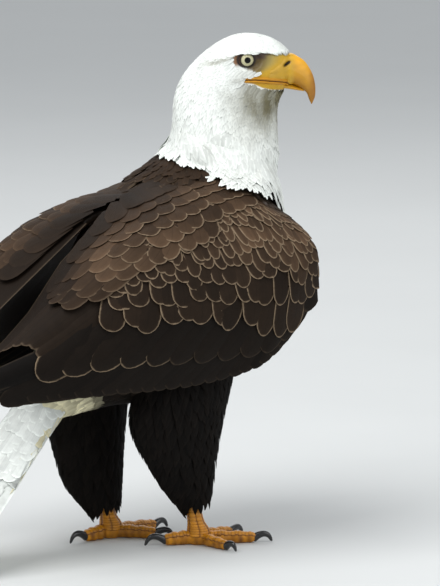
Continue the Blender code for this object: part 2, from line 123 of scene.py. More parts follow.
# how much higher than the right wing the left one rides, from its wrist to its tips
LEFT_RAISES = (0.0, -0.001, -0.009, -0.012, -0.004, 0.006, 0.026, 0.014, 0.0)
RAISED_RAILS = (0.6, 1.0, 0.5, 0.0)  # share of that for each rail
TAIL_ROOT = np.array([-0.176, 0.0, 0.206])
TAIL_DROP = math.radians(42)
TAIL_BACK = np.array([-math.cos(TAIL_DROP), 0, -math.sin(TAIL_DROP)])
TAIL_UP = np.array([-math.sin(TAIL_DROP), 0, math.cos(TAIL_DROP)])
TAIL_LENGTH = 0.265
TAIL_HALF_WIDTHS = (0.030, 0.078)
TAIL_FEATHERS = 12
TAIL_ROUNDING = 0.020
TAIL_SAG = 0.014
# height, front, rear, middle y, half width of the feathered leg
THIGH_ROWS = {
    "right": [(0.262, 0.076, -0.050, 0.056, 0.030), (0.235, 0.077, -0.064, 0.059, 0.038),
              (0.205, 0.067, -0.073, 0.060, 0.041), (0.175, 0.060, -0.080, 0.060, 0.037),
              (0.145, 0.055, -0.072, 0.058, 0.032), (0.110, 0.051, -0.048, 0.055, 0.027),
              (0.080, 0.049, -0.026, 0.053, 0.022), (0.056, 0.046, -0.004, 0.051, 0.017)],
    "left": [(0.262, 0.022, -0.078, 0.056, 0.030), (0.235, 0.012, -0.100, 0.059, 0.038),
             (0.205, 0.003, -0.113, 0.060, 0.041), (0.175, -0.004, -0.120, 0.060, 0.037),
             (0.145, -0.009, -0.118, 0.058, 0.032), (0.110, -0.012, -0.110, 0.056, 0.027),
             (0.075, -0.015, -0.098, 0.054, 0.022), (0.044, -0.018, -0.072, 0.052, 0.017)],
}
FOOT_CENTRES = {"right": (0.030, -0.051), "left": (-0.032, 0.051)}
TARSUS_TOP = (-0.014, 0.084)
TARSUS_RADIUS = 0.0092
PAD_RADIUS = 0.0150
PAD_HEIGHT = 0.021
# direction from +X, length without the claw, radius at the root, claw length
TOES = {
    "right": {"inner": (8, 0.058, 0.0090, 0.033), "middle": (-32, 0.072, 0.0088, 0.031),
              "outer": (-88, 0.056, 0.0080, 0.026), "hind": (158, 0.044, 0.0095, 0.037)},
    "left": {"inner": (-46, 0.058, 0.0090, 0.033), "middle": (2, 0.072, 0.0088, 0.031),
             "outer": (46, 0.056, 0.0080, 0.026), "hind": (186, 0.044, 0.0095, 0.037)},
}
CLAW_BASE = 0.0052
CLAW_TIP_HEIGHT = 0.0012
# ridge ahead, ridge height, edge ahead, edge height, half width; root to hook
UPPER_BILL = [
    (0.0560, 0.6045, 0.0500, 0.5826, 0.0150), (0.0700, 0.6115, 0.0640, 0.5806, 0.0160),
    (0.0805, 0.6137, 0.0760, 0.5776, 0.0152), (0.0890, 0.6097, 0.0840, 0.5736, 0.0135),
    (0.0965, 0.6043, 0.0905, 0.5702, 0.0115), (0.1025, 0.5960, 0.0960, 0.5665, 0.0095),
    (0.1070, 0.5870, 0.0990, 0.5637, 0.0075), (0.1098, 0.5765, 0.1006, 0.5605, 0.0056),
    (0.1106, 0.5665, 0.1016, 0.5575, 0.0042), (0.1098, 0.5580, 0.1032, 0.5535, 0.0026),
    (0.1066, 0.5500, 0.1054, 0.5490, 0.0008),
]
# ahead, upper height, lower height, half width
LOWER_BILL = [
    (0.0480, 0.5820, 0.5712, 0.0130), (0.0620, 0.5800, 0.5700, 0.0140),
    (0.0760, 0.5769, 0.5688, 0.0118), (0.0880, 0.5719, 0.5668, 0.0082),
    (0.0960, 0.5690, 0.5655, 0.0045),
]


# ---- numbers
def pairs(u, v):
    """A grid of every u with every v."""
    return np.stack(np.broadcast_arrays(u[:, None], v[None]), -1)


def unit(vectors):
    """The vectors at length one."""
    return vectors / np.maximum(np.linalg.norm(vectors, axis=-1, keepdims=True), 1e-12)


def smooth(value, low, high):
    """0 below low, 1 above high, and 3x^2 - 2x^3 between them."""
    x = np.clip((value - low) / (high - low), 0, 1)
    return x * x * (3 - 2 * x)


def cubic(u, first, second, first_slope, second_slope):
    """Between two values with their slopes, where u runs from 0 to 1."""
    return ((2 * u**3 - 3 * u**2 + 1) * first + (u**3 - 2 * u**2 + u) * first_slope
            + (3 * u**2 - 2 * u**3) * second + (u**3 - u**2) * second_slope)


def through(rows, at):
    """A cubic through the rows, read where at runs from 0 to 1, and straight on past both ends."""
    rows = np.asarray(rows, float)
    at = np.asarray(at, float)
    place = at * (len(rows) - 1)
    inside = np.clip(place, 0, len(rows) - 1)
    first = np.clip(inside.astype(int), 0, len(rows) - 2)
    slopes = np.gradient(rows, axis=0)
    shape = first.shape + (1,) * (rows.ndim - 1)
    u = (inside - first).reshape(shape)
    over = (place - inside).reshape(shape)
    near = cubic(u, rows[first], rows[first + 1], slopes[first], slopes[first + 1])
    return near + over * np.where(over > 0, slopes[-1], slopes[0])


def across(points, at):
    """The same cubic where each sample has a row of points of its own."""
    count = points.shape[-2]
    place = at * (count - 1)
    inside = np.clip(place, 0, count - 1)
    first = np.clip(inside.astype(int), 0, count - 2)
    slopes = np.gradient(points, axis=-2)

    def pick(table, index):
        return np.take_along_axis(table, index[..., None, None].repeat(3, -1), -2)[..., 0, :]

    u = (inside - first)[..., None]
    over = (place - inside)[..., None]
    near = cubic(u, pick(points, first), pick(points, first + 1),
                 pick(slopes, first), pick(slopes, first + 1))
    return near + over * np.where(over > 0, slopes[..., -1, :], slopes[..., 0, :])


def ripple(points, length, seed):
    """Soft unevenness from -1 to 1: the mean of five sine waves of about that length."""
    rng = np.random.default_rng(seed)
    waves = unit(rng.normal(size=(5, 3))) * rng.uniform(0.7, 1.4, (5, 1)) * 2 * math.pi / length
    return np.sin(points @ waves.T + rng.uniform(0, 6.28, 5)).mean(-1) * 1.6


def linear(hex_colour):
    """An sRGB hex colour as linear red, green and blue."""
    value = np.array([int(hex_colour[i:i + 2], 16) for i in (1, 3, 5)]) / 255
    return np.where(value <= 0.04045, value / 12.92, ((value + 0.055) / 1.055) ** 2.4)


def blend(low, high, share):
    """Colours between low and high, for an array of shares."""
    return low + (high - low) * np.asarray(share)[..., None]


# ---- surfaces: each maps two numbers to a place on the bird
def ahead(distance, height, side=0.0):
    """The place that lies so far ahead of the neck's axis, as the head looks, and to its left."""
    x = NECK_FOOT[0] + distance * math.cos(HEAD_TURN) - side * math.sin(HEAD_TURN)
    y = NECK_FOOT[1] + distance * math.sin(HEAD_TURN) + side * math.cos(HEAD_TURN)
    return np.stack(np.broadcast_arrays(x, y, height), -1)


def in_head(points):
    """Places in the head's own axes: how far ahead, how far to the left, and how high."""
    x = points[..., 0] - NECK_FOOT[0]
    y = points[..., 1] - NECK_FOOT[1]
    forward = x * math.cos(HEAD_TURN) + y * math.sin(HEAD_TURN)
    left = -x * math.sin(HEAD_TURN) + y * math.cos(HEAD_TURN)
    return forward, left, points[..., 2]


def body_rows():
    """Head, neck and trunk as one table: centre, turn, pitch, front, back and half width."""
    rows = []
    for crown, crown_z, throat, throat_z, width in FACE_ROWS:
        reach = math.hypot(throat - crown, throat_z - crown_z) / 2
        pitch = math.atan2(crown_z - throat_z, throat - crown)
        centre = ahead((crown + throat) / 2, (crown_z + throat_z) / 2)
        rows.append((*centre, HEAD_TURN, pitch, reach, reach, width))
    for x, z, turn, pitch, front, back, width in TRUNK_ROWS:
        rows.append((x, 0, z, math.radians(turn), math.radians(pitch), front, back, width))
    return np.array(rows)


BODY = body_rows()


def body_at(uv):
    """u runs through the rings from bill to tail, v once round from the throat to the bird's left."""
    row = through(BODY, uv[..., 0])
    angle = uv[..., 1] * 2 * math.pi
    turn, pitch = row[..., 3], row[..., 4]
    forward = np.stack([np.cos(turn) * np.cos(pitch), np.sin(turn) * np.cos(pitch), -np.sin(pitch)], -1)
    left = np.stack([-np.sin(turn), np.cos(turn), 0 * turn], -1)
    cosine, sine = np.cos(angle), np.sin(angle)
    along = np.sign(cosine) * np.abs(cosine) ** (2 / SQUARENESS)
    out = np.sign(sine) * np.abs(sine) ** (2 / SQUARENESS)
    reach = np.where(cosine > 0, row[..., 5], row[..., 6])
    return row[..., :3] + (along * reach)[..., None] * forward + (out * row[..., 7])[..., None] * left


def wing_at(uv, side):
    """u runs from the wrist to the tips, v from the back's middle line out and down to the edge."""
    rails = through(np.swapaxes(np.array(WING_RAILS), 0, 1), uv[..., 0])
    if side > 0:
        rails[..., 2] += through(LEFT_RAISES, uv[..., 0])[..., None] * np.array(RAISED_RAILS)
    return across(rails, uv[..., 1]) * np.array([1, side, 1])


def mantle_at(uv):
    """u as on the wings, v from 0 a little way onto the right wing, over the gap, to 1 on the left."""
    edges = [wing_at(np.stack([uv[..., 0], 0 * uv[..., 0] + v], -1), side)
             for v, side in ((0.13, -1), (0.02, -1), (0.02, 1), (0.13, 1))]
    return across(np.stack(edges, -2), uv[..., 1])


def cape_at(uv):
    """u from the neck down to the foot of the white, over the shoulders, and v round as on the body."""
    v = uv[..., 1] % 1
    side = np.where(v < 0.5, 1, -1)

    def ring(row, at):
        return body_at(np.stack([0 * v + row / LAST_ROW, 0 * v + at], -1))

    def beside(row, way):
        return ring(row, 0.5 - way * side)

    def over(s, at):
        place = np.stack([0 * v + s, 0 * v + at], -1)
        return np.where(side[..., None] > 0, wing_at(place, 1), wing_at(place, -1))

    # from the nape round to the throat: over the trunk, the shoulder of the wing, and the breast
    middle = [ring(13.7, 0.5), beside(13.7, 0.075), beside(13.9, 0.155) + (0, 0, 0.007),
              over(0.10, 0.02) + (0, 0, 0.009), beside(14.2, 0.31), beside(14.4, 0.41), ring(13.9, 0)]
    foot = [ring(14.5, 0.5), beside(14.6, 0.07), over(0.25, 0.08), over(0.25, 0.26), over(0.17, 0.33),
            beside(15.2, 0.41), ring(14.6, 0)]
    below = [ring(15.2, 0.5), beside(15.3, 0.07), over(0.31, 0.15), over(0.32, 0.33), over(0.24, 0.41),
             beside(15.9, 0.41), ring(15.4, 0)]
    fold = np.abs(v - 0.5) * 2
    lower = [across(np.stack(row, -2), fold) for row in (middle, foot, below)]
    rings = np.stack([ring(11.4, v), ring(12.6, v), *lower], -2)
    # u runs evenly along each line down the neck, whatever the distances between its rings
    reach = np.linalg.norm(np.diff(rings, axis=-2), axis=-1)
    begin = (np.cumsum(reach, -1) - reach) / reach.sum(-1, keepdims=True)
    place = (uv[..., :1] - begin) * reach.sum(-1, keepdims=True) / reach
    place = np.clip(place, (-np.inf, 0, 0, 0), (1, 1, 1, np.inf))
    return across(rings, place.sum(-1) / 4)


def tail_half_width(u):
    """Half the tail's width, from its root out to its tips."""
    return TAIL_HALF_WIDTHS[0] + (TAIL_HALF_WIDTHS[1] - TAIL_HALF_WIDTHS[0]) * np.abs(u) ** 0.8


def tail_at(uv):
    """u runs from the root to the tips, v across from -1 on the right to 1 on the left."""
    u, v = uv[..., :1], uv[..., 1:]
    across_by = np.array([0, 1, 0]) * v * tail_half_width(u)
    return TAIL_ROOT + TAIL_BACK * u * TAIL_LENGTH + across_by - TAIL_UP * TAIL_SAG * v**2


def rump_at(uv):
    """The thick root of the tail: an oval round the tail's line that thins to its feathers."""
    u, angle = uv[..., 0], uv[..., 1] * 2 * math.pi
    middle = tail_at(np.stack([u, 0 * u], -1))
    half = 0.0025 + 0.0235 * np.clip(1 - u, 0, 1) ** 2.2
    rise = np.cos(angle) * half - TAIL_SAG * np.sin(angle) ** 2
    out = np.sin(angle) * (tail_half_width(u) * 0.98)
    return middle + rise[..., None] * TAIL_UP + out[..., None] * (0, 1, 0)


def thigh_at(uv, side):
    """u runs down the feathered leg, v once round from its front to its outer side."""
    name = "left" if side > 0 else "right"
    row = through(THIGH_ROWS[name], uv[..., 0])
    angle = uv[..., 1] * 2 * math.pi
    x = (row[..., 1] + row[..., 2]) / 2 + (row[..., 1] - row[..., 2]) / 2 * np.cos(angle)
    y = (row[..., 3] + row[..., 4] * np.sin(angle) * (1 + 0.15 * np.cos(angle))) * side
    return np.stack([x, y, row[..., 0]], -1)


def tarsus_at(uv, side):
    """u runs down the bare shank to its sole, v once round from its front."""
    name = "left" if side > 0 else "right"
    x, y = FOOT_CENTRES[name]
    behind, top = TARSUS_TOP
    rows = [
        (x + behind * 1.6, y, top * 1.5, TARSUS_RADIUS * 1.05),
        (x + behind, y, top, TARSUS_RADIUS),
        (x + behind * 0.65, y, top * 0.66, TARSUS_RADIUS),
        (x + behind * 0.30, y, PAD_HEIGHT * 1.5, TARSUS_RADIUS * 1.1),
        (x, y, PAD_HEIGHT * 0.9, PAD_RADIUS * 0.92),
        (x, y, PAD_HEIGHT * 0.35, PAD_RADIUS),
        (x, y, 0, PAD_RADIUS * 0.8),
    ]
    row = through(rows, np.clip(uv[..., 0], 0, 1))
    angle = uv[..., 1] * 2 * math.pi
    circle = np.stack([np.cos(angle), np.sin(angle) * side, 0 * angle], -1)
    return row[..., :3] + row[..., 3:] * circle


def toe_line(side_name, name):
    """Start, direction and end of a toe on the floor."""
    degrees, length = TOES[side_name][name][:2]
    turn = math.radians(degrees)
    direction = np.array([math.cos(turn), math.sin(turn), 0])
    centre = np.array([*FOOT_CENTRES[side_name], 0])
    return centre + direction * PAD_RADIUS * 0.55, direction, centre + direction * length


def toe_at(uv, side_name, name):
    """u runs out along the toe, v once round from its left side over the top."""
    start, direction, end = toe_line(side_name, name)
    radius = TOES[side_name][name][2]
    left = np.array([-direction[1], direction[0], 0])
    u, angle = uv[..., 0], uv[..., 1] * 2 * math.pi
    close = 1 - 0.32 * smooth(u, 0.9, 1.0)
    size = radius * (1 - 0.20 * u) * (1 + 0.09 * np.cos(u * 6 * math.pi)) * close
    height = 0.86 * radius * (1.05 - 0.18 * u)
    z = np.maximum(height + size * 1.02 * np.sin(angle), 0)
    flat = start + (end - start) * u[..., None] + (size * np.cos(angle))[..., None] * left
    return flat + z[..., None] * np.array([0, 0, 1])


class Surface:
    """A surface of the bird, the sign that turns its normal out, and its place on the unwrap.

    place maps (u, v) to a point. chart is left, low, right and high of its rectangle on the
    unwrap, and span is the range of (u, v) that fills it.
    """

    def __init__(self, place, facing, chart, span=((0, 1), (0, 1))):
        self.place = place
        self.facing = facing
        self.chart = chart
        self.span = span

    def frame(self, uv, step=1e-4):
        """Place, both tangents and the outward normal, by small steps to each side."""
        du, dv = np.array([step, 0]), np.array([0, step])
        along = (self.place(uv + du) - self.place(uv - du)) / (2 * step)
        round_ = (self.place(uv + dv) - self.place(uv - dv)) / (2 * step)
        return self.place(uv), along, round_, unit(np.cross(along, round_)) * self.facing

    def unwrap(self, uv):
        """Where (u, v) falls on the unwrap of the skin."""
        left, low, right, high = self.chart
        (u0, u1), (v0, v1) = self.span
        x = left + (right - left) * np.clip((uv[..., 0] - u0) / (u1 - u0), 0, 1)
        y = low + (high - low) * np.clip(((uv[..., 1] - v0) / (v1 - v0)) % 1.0000001, 0, 1)
        return np.stack([x, y], -1)


BODY_SURFACE = Surface(body_at, 1, (0.01, 0.01, 0.60, 0.49))
WING_SURFACES = {
    "right": Surface(lambda uv: wing_at(uv, -1), 1, (0.01, 0.51, 0.49, 0.74)),
    "left": Surface(lambda uv: wing_at(uv, 1), -1, (0.01, 0.76, 0.49, 0.99)),
}
MANTLE = Surface(mantle_at, -1, (0.88, 0.51, 0.99, 0.99))
CAPE = Surface(cape_at, 1, (0.60, 0.01, 0.615, 0.49))
TAIL_TOP = Surface(tail_at, -1, (0.51, 0.51, 0.74, 0.74), ((0, 1), (-1.1, 1.1)))
RUMP = Surface(rump_at, -1, (0.76, 0.51, 0.86, 0.99))
THIGH_SURFACES = {
    "right": Surface(lambda uv: thigh_at(uv, -1), -1, (0.62, 0.01, 0.79, 0.24)),
    "left": Surface(lambda uv: thigh_at(uv, 1), 1, (0.62, 0.26, 0.79, 0.49)),
}
FOOT_CHARTS = {"right": (0.81, 0.01, 0.99, 0.24), "left": (0.81, 0.26, 0.99, 0.49)}


# ---- meshes
def layout_shift():
    """How far the frame lies from this layout, read from the centre of the left eye's solid."""
    low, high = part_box("eye_left")
    middle = (np.array(low) + np.array(high)) / 2
    return middle - ahead(EYE[0], EYE[2], EYE[1])


SHIFT = layout_shift()


def new_piece(name, points, faces, material, tints=None, uvs=None):
    """An object at the origin from whole arrays: points in the layout and faces of four corners.

    tints holds a colour for each point, and uvs holds maps by name with a pair for each point. A
    face whose last corner is -1 has three.
    """
    faces = np.asarray(faces)
    four = faces[:, 3] >= 0
    corners = faces.reshape(-1)
    corners = corners[corners >= 0]
    starts = np.concatenate([[0], np.cumsum(np.where(four, 4, 3))[:-1]])
    mesh = bpy.data.meshes.new(name)
    mesh.vertices.add(len(points))
    mesh.vertices.foreach_set("co", (np.asarray(points) + SHIFT).astype(np.float32).ravel())
    mesh.loops.add(len(corners))
    mesh.loops.foreach_set("vertex_index", corners.astype(np.int32))
    mesh.polygons.add(len(faces))
    mesh.polygons.foreach_set("loop_start", starts.astype(np.int32))
    mesh.update(calc_edges=True)
    mesh.polygons.foreach_set("use_smooth", np.ones(len(faces), bool))
    if tints is not None:
        colour = mesh.attributes.new("tint", "FLOAT_COLOR", "POINT")
        rgba = np.ones((len(points), 4), np.float32)
        rgba[:, :3] = tints
        colour.data.foreach_set("color", rgba.ravel())
    for map_name, places in (uvs or {}).items():
        layer = mesh.uv_layers.new(name=map_name)
        layer.data.foreach_set("uv", places[corners].astype(np.float32).ravel())
    mesh.validate()
    mesh.materials.append(material)
    piece = bpy.data.objects.new(name, mesh)
    bpy.context.scene.collection.objects.link(piece)
    return piece


def grid_faces(rows, columns, closed=False, first=0, flip=False):
    """Quads over a grid of points; closed joins the last column to the first."""
    row = np.arange(rows - 1)[:, None]
    column = np.arange(columns if closed else columns - 1)[None]
    after = (column + 1) % columns
    quads = np.stack(np.broadcast_arrays(row * columns + column, row * columns + after,
                                         (row + 1) * columns + after, (row + 1) * columns + column), -1)
    quads = quads.reshape(-1, 4) + first
    return quads[:, ::-1] if flip else quads


def tube(rings):
    """Points and outward faces of a closed tube over rings, with a middle point over each end."""
    count, sides = rings.shape[:2]
    points = np.concatenate([rings.reshape(-1, 3), rings[0].mean(0)[None], rings[-1].mean(0)[None]])
    side = np.arange(sides)
    after = (side + 1) % sides
    none = np.full(sides, -1)
    start = np.stack([after, side, np.full(sides, count * sides), none], -1)
    last = (count - 1) * sides
    end = np.stack([last + side, last + after, np.full(sides, count * sides + 1), none], -1)
    return points, outward(points, np.concatenate([grid_faces(count, sides, closed=True), start, end]))


def slab(upper, under):
    """Points and outward faces of a closed shell between two grids of the same size."""
    size = upper.shape[0] * upper.shape[1]
    index = np.arange(size).reshape(upper.shape[:2])
    rim = np.concatenate([index[0, :-1], index[:-1, -1], index[-1, :0:-1], index[:0:-1, 0]])
    after = np.roll(rim, -1)
    wall = np.stack([after, rim, rim + size, after + size], -1)
    points = np.concatenate([upper.reshape(-1, 3), under.reshape(-1, 3)])
    faces = [grid_faces(*index.shape), grid_faces(*index.shape, first=size, flip=True), wall]
    return points, outward(points, np.concatenate(faces))


def outward(points, faces):
    """The faces, all reversed if the closed shape they make has a negative volume."""
    first, second, third = (points[faces[:, corner]] for corner in range(3))
    volume = np.einsum("ij,ij->i", first, np.cross(second, third)).sum()
    four = faces[:, 3] >= 0
    fourth = points[faces[four, 3]]
    volume += np.einsum("ij,ij->i", first[four], np.cross(third[four], fourth)).sum()
    if volume >= 0:
        return faces
    flipped = faces.copy()
    flipped[:, :3] = faces[:, 2::-1]
    flipped[four] = faces[four][:, ::-1]
    return flipped


def joined(parts):
    """Several (points, faces, tints) as one."""
    points, faces, tints, first = [], [], [], 0
    for part_points, part_faces, part_tints in parts:
        points.append(part_points)
        faces.append(np.where(part_faces >= 0, part_faces + first, -1))
        tints.append(np.broadcast_to(part_tints, part_points.shape))
        first += len(part_points)
    return np.concatenate(points), np.concatenate(faces), np.concatenate(tints)


# ---- vanes: the leaves that the plumage is made of
# places along a vane from root to tip, and its width there as a share of its full width
ROUND_END = ((0, 0.35, 0.65, 0.8, 0.9, 0.97, 1), (0.55, 0.9, 1, 0.9, 0.70, 0.40, 0.14))
BROAD_END = ((0, 0.35, 0.7, 0.82, 0.90, 0.96, 0.99, 1), (0.66, 0.93, 1, 0.92, 0.75, 0.50, 0.27, 0.10))
LANCE_END = ((0, 0.25, 0.5, 0.75, 0.92, 1), (0.6, 1, 0.95, 0.68, 0.30, 0.05))
FLIGHT_END = ((0, 0.15, 0.35, 0.55, 0.75, 0.88, 0.95, 0.985, 1),
              (0.5, 0.9, 1, 1, 0.95, 0.80, 0.58, 0.36, 0.16))
SMALL_END = ((0, 0.4, 0.8, 1), (0.7, 1, 0.85, 0.25))
THREE_ACROSS = np.array([-1, 0, 1])
FIVE_ACROSS = np.array([-1, -0.5, 0, 0.5, 1])
BAKE_PATCH = 0.003  # width of a vane's patch on the unwrap


class Coat:
    """Gathers vanes, row by row, into one mesh."""

    def __init__(self, seed):
        self.rng = np.random.default_rng(seed)
        self.points, self.faces, self.tints = [], [], []
        self.maps = {"vane": [], "rim": [], "OFBake": []}
        self.pale, self.border, self.count = [], [], 0

    def lay(self, surface, roots, length, width, lie=None, tips=None, shape=ROUND_END, columns=THREE_ACROSS,
            depth=0.004, lift=0.0008, camber=0.12, thickness=0.0007, tint=(0.5, 0.5, 0.5), pale=0.0,
            wander=5.0, tilt=0.0, order=0.0):
        """Vanes with their roots on a surface.

        A vane's middle line starts at its root and goes on along the surface for its length in the
        direction of lie, bending with the surface's own lines where no lie is given, or straight to
        the (u, v) in tips, whatever the length. Across it, points step sideways on the surface by
        half the width times the outline's share. Above the surface a point at a along and b across
        stands at  a * lift - depth * (1 - a)^2.5 - camber * width * b^2,  and the upper and lower
        faces lie half a thickness * (1 - b^2) to each side of that.
        wander is how many degrees the lie strays. tilt raises one side over the next vane, as a
        slope, and order lifts the whole vane.
        """
        count = len(roots)
        if count == 0:
            return
        rng = self.rng
        if tips is not None:
            length = np.linalg.norm(surface.place(tips) - surface.place(roots), axis=1)
        length, width, depth, lift, pale, order = (
            np.broadcast_to(np.asarray(value, float), count)
            for value in (length, width, depth, lift, pale, order))
        a, share = np.array(shape[0]), np.array(shape[1])
        b = np.asarray(columns, float)
        stray = np.radians(rng.normal(0, wander, count))
        if tips is None:
            stretch = length * rng.normal(1, 0.07, count)
            spine = [roots]
            for share_on in np.diff(a):
                here, along, round_, normal = surface.frame(spine[-1])
                wanted = along if lie is None else lie
                wanted = unit(wanted - (wanted * normal).sum(-1, keepdims=True) * normal)
                wanted = wanted * np.cos(stray)[:, None] + np.cross(normal, wanted) * np.sin(stray)[:, None]
                spine.append(spine[-1] + surface_step(along, round_, wanted) * (stretch * share_on)[:, None])
            spine = np.stack(spine, 1)
        else:
            steps = tips - roots
            steps = steps + np.stack([-steps[:, 1], steps[:, 0]], -1) * np.sin(stray)[:, None] * 0.5
            spine = roots[:, None] + steps[:, None] * a[None, :, None]
        here, along, round_, normal = surface.frame(spine)
        forward = unit(np.gradient(here, axis=1))
        sideways = unit(np.cross(normal, forward))
        side_step = surface_step(along, round_, sideways)
        half = width[:, None] / 2 * share
        offset = half[..., None] * b
        uv = spine[:, :, None] + side_step[:, :, None] * offset[..., None]
        sheet = surface.place(uv)
        arch = normal[:, :, None] * np.ones((1, 1, len(b), 1))
        roll = (tilt + np.sin(np.radians(rng.normal(0, 0.8, count))))[:, None, None] * offset
        bend = camber * width[:, None, None] * (b**2) * share[None, :, None]
        height = (a * lift[:, None] - depth[:, None] * (1 - a) ** 2.5)[..., None]
        height = height + order[:, None, None] + rng.normal(0, 0.00012, count)[:, None, None] - bend + roll
        ends = np.minimum(1, np.minimum((a + 0.15) * 4, (1.06 - a) * 5))
        half_thick = thickness / 2 * (1 - b[None] ** 2) * ends[:, None]
        top = sheet + arch * (height + half_thick)[..., None]
        under = sheet + arch * (height - half_thick)[..., None]
        self._add(top, under, a, b, half, surface, roots, length, tint, pale)

    def varied(self, tint, amount, count, low=0.6, high=1.5):
        """The tint of each vane, lighter or darker than its neighbours by about an amount."""
        return tint * (1 + amount * self.rng.normal(0, 1, (count, 1))).clip(low, high)

    def _add(self, top, under, a, b, half, surface, roots, length, tint, pale):
        """Joins the two faces of each vane round their rim and stores them with their maps."""
        count, rows, columns = top.shape[:3]
        inner = np.arange(1, rows - 1)[:, None] * columns + np.arange(1, columns - 1)[None]
        top_index = np.arange(rows * columns).reshape(rows, columns)
        under_index = top_index.copy()
        under_index[1:-1, 1:-1] = rows * columns + np.arange(inner.size).reshape(inner.shape)
        quads = [np.stack([index[:-1, :-1], index[1:, :-1], index[1:, 1:], index[:-1, 1:]], -1).reshape(-1, 4)
                 for index in (top_index, under_index)]
        quads[1] = quads[1][:, ::-1]
        pattern = np.concatenate(quads)
        size = rows * columns + inner.size

        def spread(values):
            """A value at each grid place, repeated for the under side's own points."""
            flat = values.reshape(len(values), rows * columns, -1)
            return np.concatenate([flat, flat[:, inner.ravel()]], 1)

        points = np.concatenate([top.reshape(count, -1, 3), under.reshape(count, -1, 3)[:, inner.ravel()]], 1)
        faces = pattern[None] + (self.count + np.arange(count) * size)[:, None, None]
        ones = np.ones((count, rows, columns))
        vane = np.stack([ones * (b * 0.5 + 0.5), ones * a[:, None]], -1)
        rim = np.stack([(1 - np.abs(b)) * half[..., None] * 1000 * np.ones((1, 1, columns)),
                        ones * ((1 - a)[None, :, None] * length[:, None, None] * 1000)], -1)
        spot = surface.unwrap(roots)[:, None, None] + (vane - 0.5) * BAKE_PATCH
        self.points.append(points.reshape(-1, 3))
        self.faces.append(faces.reshape(-1, 4))
        for name, values in (("vane", vane), ("rim", rim), ("OFBake", spot)):
            self.maps[name].append(spread(values).reshape(-1, 2))
        tint = np.broadcast_to(tint, (count, 3))
        self.tints.append(np.repeat(tint, size, 0))
        self.pale.append(np.repeat(pale, size))
        border = np.ones((1, rows, columns))
        border[:, 1:-1, 1:-1] = 0
        border = spread(border)
        border[:, rows * columns:] = 0
        self.border.append(np.tile(border.ravel() > 0, count))
        self.count += count * size

    def piece(self, name, material):
        """The gathered vanes as one object, with the strength of the pale rim as an attribute."""
        uvs = {key: np.concatenate(values) for key, values in self.maps.items()}
        made = new_piece(name, np.concatenate(self.points), np.concatenate(self.faces), material,
                         np.concatenate(self.tints), uvs)
        strength = made.data.attributes.new("pale", "FLOAT", "POINT")
        strength.data.foreach_set("value", np.concatenate(self.pale).astype(np.float32))
        # the two faces of a vane are shaded apart: every edge of its rim is sharp
        border = np.concatenate(self.border)
        ends = np.empty(len(made.data.edges) * 2, np.int32)
        made.data.edges.foreach_get("vertices", ends)
        sharp = made.data.attributes.new("sharp_edge", "BOOLEAN", "EDGE")
        sharp.data.foreach_set("value", border[ends.reshape(-1, 2)].all(1))
        made.data.uv_layers.active = made.data.uv_layers["OFBake"]
        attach(made, "root")
        return made


def surface_step(along, round_, wanted):
    """The change of (u, v) that moves one metre in a wanted direction within the surface."""
    aa, ab, bb = (along * along).sum(-1), (along * round_).sum(-1), (round_ * round_).sum(-1)
    wa, wb = (wanted * along).sum(-1), (wanted * round_).sum(-1)
    size = np.maximum(aa * bb - ab * ab, 1e-12)
    return np.stack([wa * bb - wb * ab, wb * aa - wa * ab], -1) / size[..., None]


def roots_in_rows(surface, starts, ends, gap, rng, exposure=None, jitter=0.15):
    """Roots along straight lines on the unwrap, a gap apart, each row half a step from the last.

    Where neighbouring lines crowd closer than the exposure, the gap widens in proportion, so that
    the vanes stay as dense for their area. Gives the roots and the row of each.
    """
    roots, rows = [], []
    share = np.linspace(0, 1, 160)[:, None]
    starts, ends = np.asarray(starts, float), np.asarray(ends, float)
    gap = np.broadcast_to(gap, len(starts))
    for row in range(len(starts)):
        line = starts[row] + (ends[row] - starts[row]) * share
        other = row + 1 if row + 1 < len(starts) else row - 1
        beside = surface.place(starts[other] + (ends[other] - starts[other]) * share)
        places = surface.place(line)
        travel = np.linalg.norm(np.diff(places, axis=0), axis=1) / gap[row]
        if exposure is not None:
            apart = np.linalg.norm(beside - places, axis=1) / np.broadcast_to(exposure, len(starts))[row]
            travel = travel * np.clip((apart[1:] + apart[:-1]) / 2, 0.12, 1.5)
        total = np.concatenate([[0], np.cumsum(travel)])
        places = np.arange(0.25 + 0.5 * (row % 2), total[-1], 1.0)
        places = np.clip(places + rng.normal(0, jitter, len(places)), 0, total[-1])
        at = np.interp(places, total, share[:, 0])[:, None]
        roots.append(starts[row] + (ends[row] - starts[row]) * at)
        rows.append(np.full(len(at), row))
    return np.concatenate(roots), np.concatenate(rows)


def roots_round(surface, rows, gap, rng, exposure, low=0.0, high=1.0):
    """Roots along rows of even u, from one v to another."""
    starts, ends = (np.stack([rows, 0 * rows + v], -1) for v in (low, high))
    return roots_in_rows(surface, starts, ends, gap, rng, exposure)[0]


# ---- materials
def add(tree, kind, links=None, values=None, **settings):
    """Adds a node: sets its settings and its inputs, and links sockets, or nodes' first ones, into it."""
    node = tree.nodes.new("ShaderNode" + kind)
    for name, value in settings.items():
        setattr(node, name, value)
    for name, value in (values or {}).items():
        node.inputs[name].default_value = value
    for name, source in (links or {}).items():
        socket = source.outputs[0] if hasattr(source, "outputs") else source
        tree.links.new(socket, node.inputs[name])
    return node


def new_material(name, **finish):
    """A Principled material with its finish set on the shader; gives it, its tree and its shader."""
    material = bpy.data.materials.new(name)
    material.use_nodes = True
    shader = material.node_tree.nodes["Principled BSDF"]
    for socket, value in finish.items():
        shader.inputs[socket.replace("_", " ")].default_value = value
    return material, material.node_tree, shader


